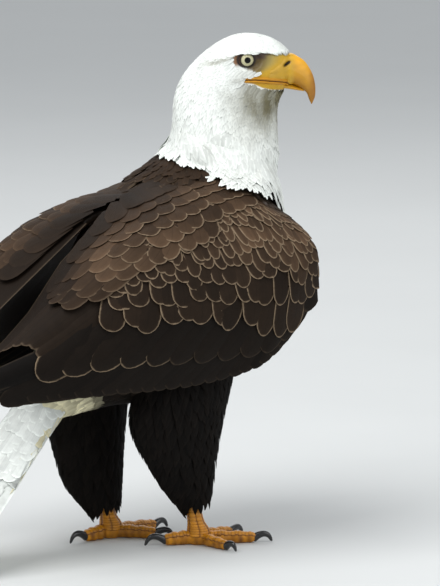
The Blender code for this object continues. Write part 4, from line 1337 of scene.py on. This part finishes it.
def shaded(s, v, side, tint, pale, dark):
    """Tint and rim of wing feathers from their tips' (s, v), with painted shade: darker in a band below the
    foot of the white, where the white locks overhang them, and where the left wing's inner edge is tucked
    under the right one's."""
    foot = np.interp(s, (0.02, 0.12, 0.17, 0.24, 0.30), (0.40, 0.32, 0.27, 0.15, -0.05))
    share = smooth(v - foot, 0.26, 0.13)
    if side > 0:
        share = np.maximum(share, smooth(v, 0.13, 0.04) * smooth(s, 0.26, 0.34))
    return blend(tint, dark * 0.9, 0.85 * share), pale * (1 - 0.85 * share)


def wing_plumage(scene):
    """Feathers of both wings: coverts in level rows, scapulars over them, flight feathers below."""
    plumage = Settings(scene.eagle_plumage)
    brown, dark, golden = plumage.brown, plumage.dark, plumage.golden
    material = vane_material("wing_feather_keratin", plumage.rim, plumage.rim_width, 0.65, 0.05, 1.1,
                             0.82, 0.62)
    for side_name, side in SIDES.items():
        surface = WING_SURFACES[side_name]
        # coverts: share of the level line at the tips, width in millimetres
        rows = [(0.26, 10), (0.305, 10), (0.35, 10), (0.395, 10), (0.44, 10.5), (0.485, 11), (0.535, 12),
                (0.59, 13), (0.65, 14.5), (0.715, 17), (0.79, 20), (0.88, 24.5), (1.0, 30)]
        coat = Coat(31 + side)
        s_line = np.linspace(-0.02, 0.67, 200)
        for index, (share, width) in enumerate(rows):
            before = rows[max(index - 1, 0)][0]
            start = share - 2.6 * max(share - before, 0.05)
            shrink = 0.62 + 0.38 * smooth(s_line, 0.02, 0.22)
            tips = np.stack([s_line, row_line(s_line, share)], -1)
            gaps = np.linalg.norm(np.diff(surface.place(tips), axis=0), axis=1)
            gaps = gaps / (width * 0.80e-3 * shrink[1:])
            total = np.concatenate([[0], np.cumsum(gaps)])
            at = np.arange(0.3 + 0.5 * (index % 2), total[-1], 1.0)
            at = np.interp(at + coat.rng.normal(0, 0.10, len(at)), total, s_line)
            at = at[(row_line(at, share) < 1.0) & ((row_line(at, share) > 0.33) | (at < 0.40))]
            uneven = coat.rng.normal(0, 0.009 + 0.006 * (share < 0.8), len(at))
            tip = np.stack([at, row_line(at, share) + uneven], -1)
            root = np.stack([at - 0.004, row_line(at, start)], -1)
            wide = width / 1000 * (0.62 + 0.38 * smooth(at, 0.02, 0.22)) * coat.rng.normal(1, 0.05, len(at))
            gold = smooth(share, 0.86, 0.60) * smooth(at, 0.52, 0.20)
            gold = gold * (0.75 + 0.45 * ripple(surface.place(tip), 0.06, 9))
            tint = blend(blend(brown, dark, 0.5 * smooth(share, 0.6, 0.9)), golden, np.clip(gold, 0, 0.9))
            tint = coat.varied(tint, 0.15, len(at))
            tint, pale = shaded(*tip.T, side, tint, 1.0 - 0.25 * coat.rng.random(len(at)), dark)
            coat.lay(surface, root, None, wide * 1.2, tips=tip, shape=BROAD_END if share > 0.6 else ROUND_END,
                     columns=FIVE_ACROSS, depth=plumage.body_depth * 0.8, lift=0.0016, camber=0.03, tint=tint,
                     pale=pale, wander=5, tilt=0.055 * side, order=-0.0014 - 0.00005 * index)
        # scapulars: rows along the back whose tips hang down over the coverts, and further back
        # sweep to the rear; the lower rows begin further back
        for index, v in enumerate((0.52, 0.45, 0.38, 0.31, 0.24, 0.17, 0.10, 0.04)):
            start = np.array([0.05 + 1.3 * max(v - 0.20, 0) * (1 + v), v])
            end = np.array([0.66 - 1.2 * max(v - 0.35, 0), v + 0.02])
            width = 0.026 - 0.004 * smooth(v, 0.15, 0.45)
            roots, rank = roots_in_rows(surface, [start, start + (0, 0.05)], [end, end + (0, 0.05)],
                                        width * 0.72, coat.rng)
            s = roots[rank == 0, 0] - 0.02
            sweep = smooth(s, 0.34, 0.62)
            roots = np.stack([s, roots[rank == 0, 1] - 0.09 + 0.09 * sweep], -1)
            tips = roots + np.stack([0.030 + 0.085 * sweep, 0.165 - 0.125 * sweep], -1)
            tips = tips + coat.rng.normal(0, 0.003, tips.shape)
            short = (tips[:, 1] < 0.50) | (tips[:, 0] < 0.50)
            s, roots, tips = s[short], roots[short], tips[short]
            wide = width * (0.62 + 0.38 * smooth(s, 0.0, 0.22)) * coat.rng.normal(1, 0.05, len(s))
            tint = blend(brown, golden, 0.30 + 0.35 * ripple(surface.place(tips), 0.09, 4))
            tint = coat.varied(tint, 0.13, len(s))
            pale = (0.85 - 0.3 * coat.rng.random(len(s))) * (1 - 0.75 * smooth(s, 0.46, 0.62))
            pale = pale * smooth(v, 0.06, 0.2)
            tint, pale = shaded(*tips.T, side, tint, pale, dark)
            coat.lay(surface, roots, None, wide * 1.25, tips=tips, shape=BROAD_END, columns=FIVE_ACROSS,
                     depth=0.003, lift=0.0020, camber=0.03, tint=tint, pale=pale, wander=3, tilt=-0.05 * side,
                     order=-0.0010 + 0.0003 * index)
        coat.piece(f"wing_coverts_{side_name}", material)
        flight_feathers(surface, side_name, side, plumage, material)


def flight_feathers(surface, side_name, side, plumage, material):
    """Greater coverts, tertials, secondaries and primaries, each from its root to its own tip."""
    coat = Coat(41 + side)
    dark, black = plumage.dark, plumage.black
    # primaries: from the hand at the lower edge back to the wing's point
    step = np.linspace(0, 1, 10)
    roots = np.stack([0.42 + 0.10 * step, 0.86 - 0.10 * step], -1)
    tips = np.stack([0.78 + 0.22 * step, 1.0 - 0.45 * step**1.5], -1)
    place_flight(coat, surface, roots, tips, 0.030, FLIGHT_END, black, 0.08, -0.0086 + 0.0003 * np.arange(10))
    # secondaries: a slanting fan from behind the forearm down to the lower edge
    step = np.linspace(0, 1, 24)
    roots = np.stack([0.06 + 0.58 * step, 0.74 - 0.10 * step], -1)
    tips = np.stack([0.21 + 0.61 * step, 0.985 + 0.02 * smooth(step, 0.0, 0.3) - 0.02 * step], -1)
    place_flight(coat, surface, roots, tips, 0.042, FLIGHT_END, blend(black, dark, 0.4), 0.06,
                 -0.0072 + 0.00008 * np.arange(24))
    # greater coverts: over the secondaries, their tips in one level row
    at = np.linspace(0.16, 0.76, 12)
    roots = np.stack([at - 0.08, row_line(at - 0.06, 0.86) - 0.20 * smooth(at, 0.40, 0.16)], -1)
    level = np.interp(at, (0.2, 0.5, 0.6, 0.7, 0.78), (0.97, 0.89, 0.86, 0.82, 0.77))
    tips = np.stack([at + 0.02, level], -1)
    place_flight(coat, surface, roots, tips, 0.044, BROAD_END, blend(black, dark, 0.7),
                 0.10 + 0.75 * smooth(at, 0.46, 0.62), -0.0036 + 0.00009 * np.arange(12))
    # tertials: broad feathers from the shoulder back over the rump
    step = np.linspace(0, 1, 9)
    roots = np.stack([0.40 + 0.14 * step, 0.66 - 0.62 * step], -1)
    tips = np.stack([0.76 + 0.08 * step, 0.86 - 0.80 * step], -1)
    place_flight(coat, surface, roots, tips, 0.044, BROAD_END, blend(dark, plumage.brown, 0.2), 0.25,
                 -0.0058 + 0.00022 * np.arange(9))
    coat.piece(f"flight_feathers_{side_name}", material)


def place_flight(coat, surface, roots, tips, width, shape, tint, pale, order):
    """A rank of large feathers, one above the next, each with five points across."""
    tints = coat.varied(tint, 0.10, len(roots))
    coat.lay(surface, roots, None, width, tips=tips, shape=shape, columns=FIVE_ACROSS, depth=0.003,
             lift=0.0006, camber=0.06, thickness=0.0009, tint=tints, pale=pale, wander=1.0, order=order)


def tail_plumage(scene):
    """Twelve white tail feathers, slightly spread, under smooth coverts above and below the root."""
    plumage = Settings(scene.eagle_plumage)
    white, cream = plumage.white, plumage.cream
    material = vane_material("tail_feather_keratin", white, 0.8, 0.8, 0.03, 1.3, 0.93)
    coat = Coat(51)
    v = (np.arange(TAIL_FEATHERS) + 0.5) / TAIL_FEATHERS * 2 - 1
    long = 1 - TAIL_ROUNDING * v**2 / TAIL_LENGTH
    roots = np.stack([0 * v + 0.05, v * 0.75], -1)
    tips = np.stack([long - 0.004, v * 0.955], -1)
    place_flight(coat, TAIL_TOP, roots, tips, 0.027, FLIGHT_END, white, 0.4, 0.0008 - 0.0022 * np.abs(v))
    for tone, last, low, high in ((white, 0.34, -0.27, 0.27), (cream, 0.40, 0.25, 0.75)):
        rows = march(RUMP, -0.18, last, lambda _: 0.016, 0.0)
        roots = roots_round(RUMP, rows, 0.011, coat.rng, 0.016, low, high)
        tint = coat.varied(tone, 0.05, len(roots))
        coat.lay(RUMP, roots, 0.056, 0.026, depth=0.002, lift=0.0008, camber=0.04, thickness=0.0005,
                 tint=tint, pale=0.3, wander=4)
    coat.piece("tail_feathers", material)


def leg_plumage(scene):
    """Black-brown trousers: narrow pointed feathers down each leg, with a ragged fringe behind."""
    plumage = Settings(scene.eagle_plumage)
    material = vane_material("leg_feather_keratin", plumage.dark, 0.6, 0.75, 0.06, 1.1, 0.9, 0.7)
    for side_name, side in SIDES.items():
        surface = THIGH_SURFACES[side_name]
        coat = Coat(61 + side)
        rows = march(surface, 0.0, 0.95, lambda _: 0.011, 0.25)
        roots = roots_round(surface, rows, 0.0075, coat.rng, 0.011)
        rear = smooth(np.cos(roots[:, 1] * 2 * math.pi), 0.2, -0.8)
        size = 0.030 + 0.014 * rear - 0.008 * smooth(roots[:, 0], 0.7, 1.0)
        wide = 0.0125 - 0.003 * smooth(roots[:, 0], 0.6, 1.0)
        tint = coat.varied(plumage.black, 0.25, len(roots), 0.5, 1.8)
        lie = np.stack([-0.25 * rear, 0 * rear, -np.ones(len(rear))], -1)
        coat.lay(surface, roots, size, wide, lie=lie, shape=LANCE_END, depth=plumage.body_depth * 0.85,
                 lift=0.0008 + 0.003 * rear, camber=0.10, thickness=0.0006, tint=tint * 0.8, pale=0.12,
                 wander=8)
        coat.piece(f"trouser_feathers_{side_name}", material)


# ---- bill, eyes, feet
def bill_rings(rows, u, sides):
    """Ovals across the bill: height by sine and width by cosine of the angle, slimmer to the ridge."""
    table = through(rows, u)
    ridge, edge = ahead(table[:, 0], table[:, 1]), ahead(table[:, 2], table[:, 3])
    angle = np.arange(sides) * 2 * math.pi / sides
    left = ahead(0, 0, 1) - ahead(0, 0, 0)
    sine = np.sin(angle)
    wide = np.sign(np.cos(angle)) * np.abs(np.cos(angle)) ** 0.85
    width = table[:, 4:] * wide * (1 - 0.28 * np.clip(sine, 0, 1) + 0.06 * np.clip(-sine, 0, 1))
    return ((ridge + edge)[:, None] / 2 + sine[None, :, None] * (ridge - edge)[:, None] / 2
            + width[..., None] * left)


def make_bill(scene):
    """Upper and lower bill: rings along their length, a swollen cere behind, and slit nostrils."""
    head = Settings(scene.eagle_head)
    material = tinted_material("bill_keratin", 0.0016, 0.00006, 0.05, Roughness=0.42, Coat_Weight=0.1,
                               Coat_Roughness=0.25)
    rings = bill_rings(UPPER_BILL, np.linspace(0, 1, 180) ** 1.15, 144)
    forward, left, height = in_head(rings)
    # over the face the bill's root swells to lie just outside the skin wherever that is yellow
    out = np.abs(left)
    root = forward < 0.0835
    skin = face_width(forward[root], height[root], Settings(scene.eagle_plumage))
    deep = yellow_skin(rings[root])
    inside = smooth(deep, -0.0010, 0.0006)
    lip = skin + 0.0006 * smooth(deep, 0, 0.008) - 0.0001
    over = (out[root] + lip + np.sqrt((out[root] - lip) ** 2 + (0.0020 * smooth(deep, 0, 0.008)) ** 2)) / 2
    under = np.minimum(out[root], skin - 0.0008)
    fade = smooth(forward[root], 0.0835, 0.0770)
    swollen = under + (over - under) * inside
    out[root] = (out[root] + (swollen - out[root]) * fade) * smooth(out[root], 0, 0.002)
    slit = nostril(forward, height)
    crease = np.exp(-((forward - 0.0750) * 0.55 - (height - 0.5972) * 0.83) ** 2 / 0.0000006
                    - ((forward - 0.0750) * 0.83 + (height - 0.5972) * 0.55) ** 2 / 0.000016)
    out = out - (0.0030 * slit + 0.0006 * crease) * smooth(out, 0.004, 0.010)
    rings = ahead(forward, height, np.sign(left) * out)
    points, faces = tube(rings)
    forward, left, height = in_head(points)
    suture = 0.0825 + 0.0016 * np.sin((height - 0.575) / 0.04 * math.pi)
    tint = blend(head.bill, head.bill_tip_and_shade, smooth(forward, 0.098, 0.110))
    # painted light: a painted highlight along the ridge, where the light from above falls, and painted shade
    # towards the cutting edge
    edge = np.interp(forward, (0.075, 0.084, 0.0905, 0.096, 0.101), (0.5766, 0.5734, 0.5702, 0.5665, 0.5600))
    tint = blend(tint, head.bill_tip_and_shade * 0.85, 0.75 * (1 - smooth(height - edge, 0.002, 0.018)))
    tint = tint * (1 + 0.45 * smooth(height - edge, 0.018, 0.036))[:, None]
    tint = blend(tint, head.cere, 0.92 * (1 - smooth(forward, suture - 0.006, suture + 0.004)))
    tint = tint * (1 + 0.06 * ripple(points, 0.010, 6))[:, None]
    # painted shade in the hollow of the nostril
    tint = blend(tint, head.shadow * 0.2, np.clip(nostril(forward, height) * 1.6, 0, 1))
    upper = new_piece("bill_upper_horn", points, faces, material, tint)
    rows = [(d, top, d, foot, width) for d, top, foot, width in LOWER_BILL]
    points, faces = tube(bill_rings(rows, np.linspace(0, 1, 50), 40))
    forward, left, height = in_head(points)
    tint = blend(head.cere, head.bill, smooth(forward, 0.062, 0.085))
    lower = new_piece("bill_lower_horn", points, faces, material, tint)
    for piece, node in ((upper, "bill_upper"), (lower, "bill_lower")):
        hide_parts(node)
        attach(piece, "root")


def nostril(forward, height):
    """1 inside a slit that rises forward, falling off as a bell across it and along it."""
    x, z = forward - 0.0745, height - 0.6026
    along = x * math.cos(0.58) + z * math.sin(0.58)
    beside = -x * math.sin(0.58) + z * math.cos(0.58)
    return np.exp(-((beside / 0.0017) ** 2) - (along / 0.0048) ** 4)


def make_eyes(scene):
    """Eyeballs turned about the way they look: pupil, iris with fine rays, and a dark rim."""
    head = Settings(scene.eagle_head)
    material, tree, shader = new_material("eye_cornea", Roughness=0.35, Specular_IOR_Level=0.1,
                                          Coat_Weight=0.3, Coat_Roughness=0.02, Coat_IOR=1.38)
    tint = add(tree, "Attribute", attribute_name="tint")
    rays = add(tree, "UVMap", uv_map="iris")
    stretched = add(tree, "Mapping", {"Vector": rays}, {"Scale": (60.0, 3.0, 1.0)})
    noise = add(tree, "TexNoise", {"Vector": stretched.outputs["Vector"]}, {"Scale": 1.0, "Detail": 2.0})
    shade = add(tree, "MapRange", {"Value": noise}, {"To Min": 0.86, "To Max": 1.12})
    ray = add(tree, "VectorMath", {0: tint, 1: shade}, operation="MULTIPLY")
    tree.links.new(ray.outputs["Vector"], shader.inputs["Base Color"])
    for name, side in SIDES.items():
        axis, up, cross = eye_axes(side)
        centre = ahead(EYE[0], EYE[2], EYE[1] * side)
        theta = np.linspace(0.02, math.pi - 0.02, 64)
        angle = np.arange(64) * 2 * math.pi / 64
        # the cornea bulges a little over the ball: a bell of 0.4 mm about the axis
        radius = EYE_RADIUS + 0.0004 * np.exp(-((theta / 0.75) ** 4))
        radial = np.cos(angle)[:, None] * cross + np.sin(angle)[:, None] * up
        rings = centre + radius[:, None, None] * (np.cos(theta)[:, None, None] * axis
                                                  + np.sin(theta)[:, None, None] * radial[None])
        points, faces = tube(rings)
        turn = np.degrees(np.concatenate([np.repeat(theta, 64), [0, math.pi]]))
        iris = blend(head.iris, head.iris * 0.8, smooth(turn, 26, 19))
        iris = blend(iris, head.iris_rim, smooth(turn, 38, 44))
        iris = blend(iris, head.lid, smooth(turn, 43, 47))
        tint = blend(iris, head.pupil, 1 - smooth(turn, 19.0, 21.0))
        spin = np.concatenate([np.tile(angle / (2 * math.pi), 64), [0, 0]])
        ball = new_piece(f"eyeball_{name}", points, faces, material, tint,
                         {"iris": np.stack([spin, turn / 180], -1)})
        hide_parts(f"eye_{name}")
        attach(ball, "root")


def make_scutes(scene):
    """Horny plates: overlapping bands over each toe and down the front of the shank."""
    feet = Settings(scene.eagle_feet)
    material = tinted_material("scute_keratin", 0.0012, 0.00012, 0.10, Roughness=0.42, Coat_Weight=0.1)
    for side_name, side in SIDES.items():
        parts = []
        rng = np.random.default_rng(71 + side)
        chart = FOOT_CHARTS[side_name]
        for name in TOE_NAMES:
            toe = Surface(lambda uv, toe=name: toe_at(uv, side_name, toe), -1, chart)
            start, _, end = toe_line(side_name, name)
            count = int(np.linalg.norm(end - start) / 0.0047)
            for row in range(count):
                u0 = 0.10 + 0.90 * row / count
                u1 = u0 + 1.30 * 0.90 / count
                reach = 0.185 - 0.02 * (row % 2)
                parts.append(plate(toe, (u0, u1), (0.25 - reach, 0.25 + reach), feet, rng))
        shank = Surface(lambda uv: tarsus_at(uv, side), side, chart)
        for row in range(11):
            u0 = 0.16 + 0.052 * row
            parts.append(plate(shank, (u0, u0 + 0.068), (-0.17, 0.17), feet, rng))
        for row in range(14):
            u0 = 0.14 + 0.045 * row
            for low, high in ((0.17, 0.34), (0.33, 0.50), (0.50, 0.67), (0.66, 0.83)):
                parts.append(plate(shank, (u0, u0 + 0.055), (low, high), feet, rng))
        points, faces, tints = joined(parts)
        scutes = new_piece(f"scutes_{side_name}", points, faces, material, tints)
        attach(scutes, "root")


def plate(surface, u_range, v_range, feet, rng):
    """One plate as a closed leaf on a surface: domed by 0.55 mm, its far rim a little higher."""
    a, b = np.linspace(0, 1, 5)[:, None], np.linspace(-1, 1, 9)[None]
    u = u_range[0] + (u_range[1] - u_range[0]) * a * (1 - 0.10 * b**2)
    v = (v_range[0] + v_range[1]) / 2 + (v_range[1] - v_range[0]) / 2 * b + 0 * a
    here, _, _, normal = surface.frame(np.stack(np.broadcast_arrays(u, v), -1))
    dome = (1 - b**4) * np.sin(math.pi * np.clip(a * 0.86 + 0.10, 0, 1)) ** 0.6
    height = -0.0003 + 0.00095 * dome + 0.0001 * a
    top = here + normal * height[..., None]
    under = here - normal * 0.0005
    points, faces = slab(top, under)
    points[:, 2] = np.maximum(points[:, 2], 0.0)
    shade = np.concatenate([dome.ravel(), 0 * dome.ravel()])
    tint = blend(feet.crease, feet.scute * rng.normal(1, 0.07), smooth(shade, 0.1, 0.8))
    return points, faces, tint


def make_claws(scene):
    """Talons: tapering hooks of oval section that curve from each toe down to just above the floor."""
    feet = Settings(scene.eagle_feet)
    material = tinted_material("claw_keratin", 0.0020, 0.00003, 0.25, Roughness=0.22, Coat_Weight=0.4,
                               Coat_Roughness=0.12)
    for side_name in SIDES:
        for name in TOE_NAMES:
            _, direction, end = toe_line(side_name, name)
            radius, reach = TOES[side_name][name][2:]
            left = np.array([-direction[1], direction[0], 0])
            place = np.linspace(-0.06, 1, 36)
            inside = np.clip(place, 0, 1)
            bend = np.radians(-14 + 94 * inside)
            root = 0.86 * radius * 0.87
            rise = 0.16 * reach * np.sin(math.pi * np.minimum(1, inside * 1.2))
            height = root + rise - (root - CLAW_TIP_HEIGHT) * inside**2.2
            size = CLAW_BASE * (1 - inside) ** 0.75 + 0.0005
            up = np.sin(bend)[:, None] * direction + np.cos(bend)[:, None] * np.array([0, 0, 1])
            forward = 0.70 * reach * np.sin(math.pi / 2 * inside) + 0.06 * reach * np.minimum(place, 0) / 0.06
            middle = end + direction * forward[:, None] + height[:, None] * np.array([0, 0, 1])
            angle = np.arange(24) * 2 * math.pi / 24
            rings = (middle[:, None] + (0.80 * size)[:, None, None] * np.cos(angle)[None, :, None] * left
                     + size[:, None, None] * np.sin(angle)[None, :, None] * up[:, None])
            rings[..., 2] = np.maximum(rings[..., 2], 0.0004)
            points, faces = tube(rings)
            worn = np.concatenate([np.repeat(inside, 24), [0, 1]])
            tint = feet.claw * (1 + 1.2 * (1 - smooth(worn, 0.0, 0.12)))[:, None]
            talon = new_piece(f"talon_{side_name}_{name}", points, faces, material, tint)
            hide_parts(f"claw_{side_name}_{name}")
            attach(talon, "root")


# ---- studio
def make_stage(scene):
    """Floor, soft lights and the camera."""
    stage = Settings(scene.eagle_stage)
    material, tree, shader = new_material("matt_plaster_floor", Roughness=0.9, Specular_IOR_Level=0.2)
    place = add(tree, "TexCoord")
    noise = add(tree, "TexNoise", {"Vector": place.outputs["Object"]}, {"Scale": 3.0, "Detail": 5.0})
    tone = add(tree, "MapRange", {"Value": noise}, {"To Min": 0.97, "To Max": 1.03})
    tinted = add(tree, "VectorMath", {1: tone}, {0: stage.floor}, operation="MULTIPLY")
    tree.links.new(tinted.outputs["Vector"], shader.inputs["Base Color"])
    corner = np.array([[-40, -40, 0], [40, -40, 0], [40, 40, 0], [-40, 40, 0]], float)
    floor = new_piece("floor", corner - SHIFT * (1, 1, 0), [(0, 1, 2, 3)], material)
    target = Vector(SHIFT + np.array([0.0987, -0.0079, 0.309]))
    turn, rise = math.radians(stage.azimuth), math.radians(stage.elevation)
    back = Vector((math.sin(turn) * math.cos(rise), -math.cos(turn) * math.cos(rise), math.sin(rise)))
    right = Vector((math.cos(turn), math.sin(turn), 0))
    camera = bpy.data.objects.new("camera", bpy.data.cameras.new("camera"))
    camera.data.sensor_width = 36
    camera.data.lens = 36 * stage.distance / stage.view_height
    camera.data.clip_start = 0.5
    camera.data.clip_end = 200
    camera.location = target + back * stage.distance
    camera.rotation_euler = (-back).to_track_quat("-Z", "Y").to_euler()
    scene.collection.objects.link(camera)
    scene.camera = camera
    lamps = [("key", stage.key, 2.2, back * 1.2 - right * 1.3 + Vector((0, 0, 2.4))),
             ("fill", stage.fill, 2.6, back * 1.6 + right * 2.2 + Vector((0, 0, 1.0))),
             ("rear", stage.fill * 0.7, 2.4, back * -2.2 + Vector((0, 0, 2.2)))]
    for name, power, size, offset in lamps:
        lamp = bpy.data.lights.new(name, "AREA")
        lamp.energy = power
        lamp.size = size
        holder = bpy.data.objects.new(name, lamp)
        holder.location = target + offset
        holder.rotation_euler = (-offset).to_track_quat("-Z", "Y").to_euler()
        scene.collection.objects.link(holder)
    world = bpy.data.worlds.new("studio")
    world.use_nodes = True
    world.node_tree.nodes["Background"].inputs["Color"].default_value = (0.93, 0.96, 1.0, 1)
    world.node_tree.nodes["Background"].inputs["Strength"].default_value = stage.sky
    scene.world = world
    scene.view_settings.view_transform = "Standard"


# ---- operators, panel and run
class EAGLE_OT_skin(bpy.types.Operator):
    """Make the skin under the whole coat"""

    bl_idname = "eagle.skin"
    bl_label = "Skin"

    def execute(self, context):
        make_skin(context.scene)
        return {"FINISHED"}


class EAGLE_OT_head_plumage(bpy.types.Operator):
    """Lay the white feathers of head and neck"""

    bl_idname = "eagle.head_plumage"
    bl_label = "Head and neck feathers"

    def execute(self, context):
        head_plumage(context.scene)
        return {"FINISHED"}


class EAGLE_OT_body_plumage(bpy.types.Operator):
    """Lay the brown feathers of the trunk"""

    bl_idname = "eagle.body_plumage"
    bl_label = "Body feathers"

    def execute(self, context):
        body_plumage(context.scene)
        return {"FINISHED"}


class EAGLE_OT_wing_plumage(bpy.types.Operator):
    """Lay the coverts, scapulars and flight feathers of both wings"""

    bl_idname = "eagle.wing_plumage"
    bl_label = "Wing feathers"

    def execute(self, context):
        wing_plumage(context.scene)
        return {"FINISHED"}


class EAGLE_OT_tail_plumage(bpy.types.Operator):
    """Lay the tail feathers and their coverts"""

    bl_idname = "eagle.tail_plumage"
    bl_label = "Tail feathers"

    def execute(self, context):
        tail_plumage(context.scene)
        return {"FINISHED"}


class EAGLE_OT_leg_plumage(bpy.types.Operator):
    """Lay the dark feathers of the legs"""

    bl_idname = "eagle.leg_plumage"
    bl_label = "Leg feathers"

    def execute(self, context):
        leg_plumage(context.scene)
        return {"FINISHED"}


class EAGLE_OT_bill(bpy.types.Operator):
    """Make the bill with its cere and nostrils"""

    bl_idname = "eagle.bill"
    bl_label = "Bill"

    def execute(self, context):
        make_bill(context.scene)
        return {"FINISHED"}


class EAGLE_OT_eyes(bpy.types.Operator):
    """Make the eyes"""

    bl_idname = "eagle.eyes"
    bl_label = "Eyes"

    def execute(self, context):
        make_eyes(context.scene)
        return {"FINISHED"}


class EAGLE_OT_feet(bpy.types.Operator):
    """Make the plates and claws of the feet"""

    bl_idname = "eagle.feet"
    bl_label = "Feet"

    def execute(self, context):
        make_scutes(context.scene)
        make_claws(context.scene)
        return {"FINISHED"}


class EAGLE_OT_stage(bpy.types.Operator):
    """Set up floor, lights and camera"""

    bl_idname = "eagle.stage"
    bl_label = "Stage"

    def execute(self, context):
        make_stage(context.scene)
        return {"FINISHED"}


OPERATORS = (EAGLE_OT_stage, EAGLE_OT_skin, EAGLE_OT_head_plumage, EAGLE_OT_body_plumage,
             EAGLE_OT_wing_plumage, EAGLE_OT_tail_plumage, EAGLE_OT_leg_plumage, EAGLE_OT_bill,
             EAGLE_OT_eyes, EAGLE_OT_feet)
GROUPS = {"eagle_plumage": EAGLE_PG_plumage, "eagle_head": EAGLE_PG_head, "eagle_feet": EAGLE_PG_feet,
          "eagle_stage": EAGLE_PG_stage}


class EAGLE_PT_panel(bpy.types.Panel):
    """Sizes, colours and pieces of the eagle"""

    bl_idname = "EAGLE_PT_panel"
    bl_label = "Bald eagle"
    bl_space_type = "VIEW_3D"
    bl_region_type = "UI"
    bl_category = "Eagle"

    def draw(self, context):
        for group_name, group in GROUPS.items():
            box = self.layout.box()
            for name in group.__annotations__:
                box.prop(getattr(context.scene, group_name), name)
        for operator in OPERATORS:
            self.layout.operator(operator.bl_idname)


CLASSES = (*GROUPS.values(), *OPERATORS, EAGLE_PT_panel)


def register():
    for class_ in CLASSES:
        bpy.utils.register_class(class_)
    for name, group in GROUPS.items():
        setattr(bpy.types.Scene, name, PointerProperty(type=group))


def unregister():
    for name in GROUPS:
        delattr(bpy.types.Scene, name)
    for class_ in reversed(CLASSES):
        bpy.utils.unregister_class(class_)


def main():
    register()
    for operator in OPERATORS:
        group, name = operator.bl_idname.split(".")
        getattr(getattr(bpy.ops, group), name)()


if __name__ == "__main__":
    main()
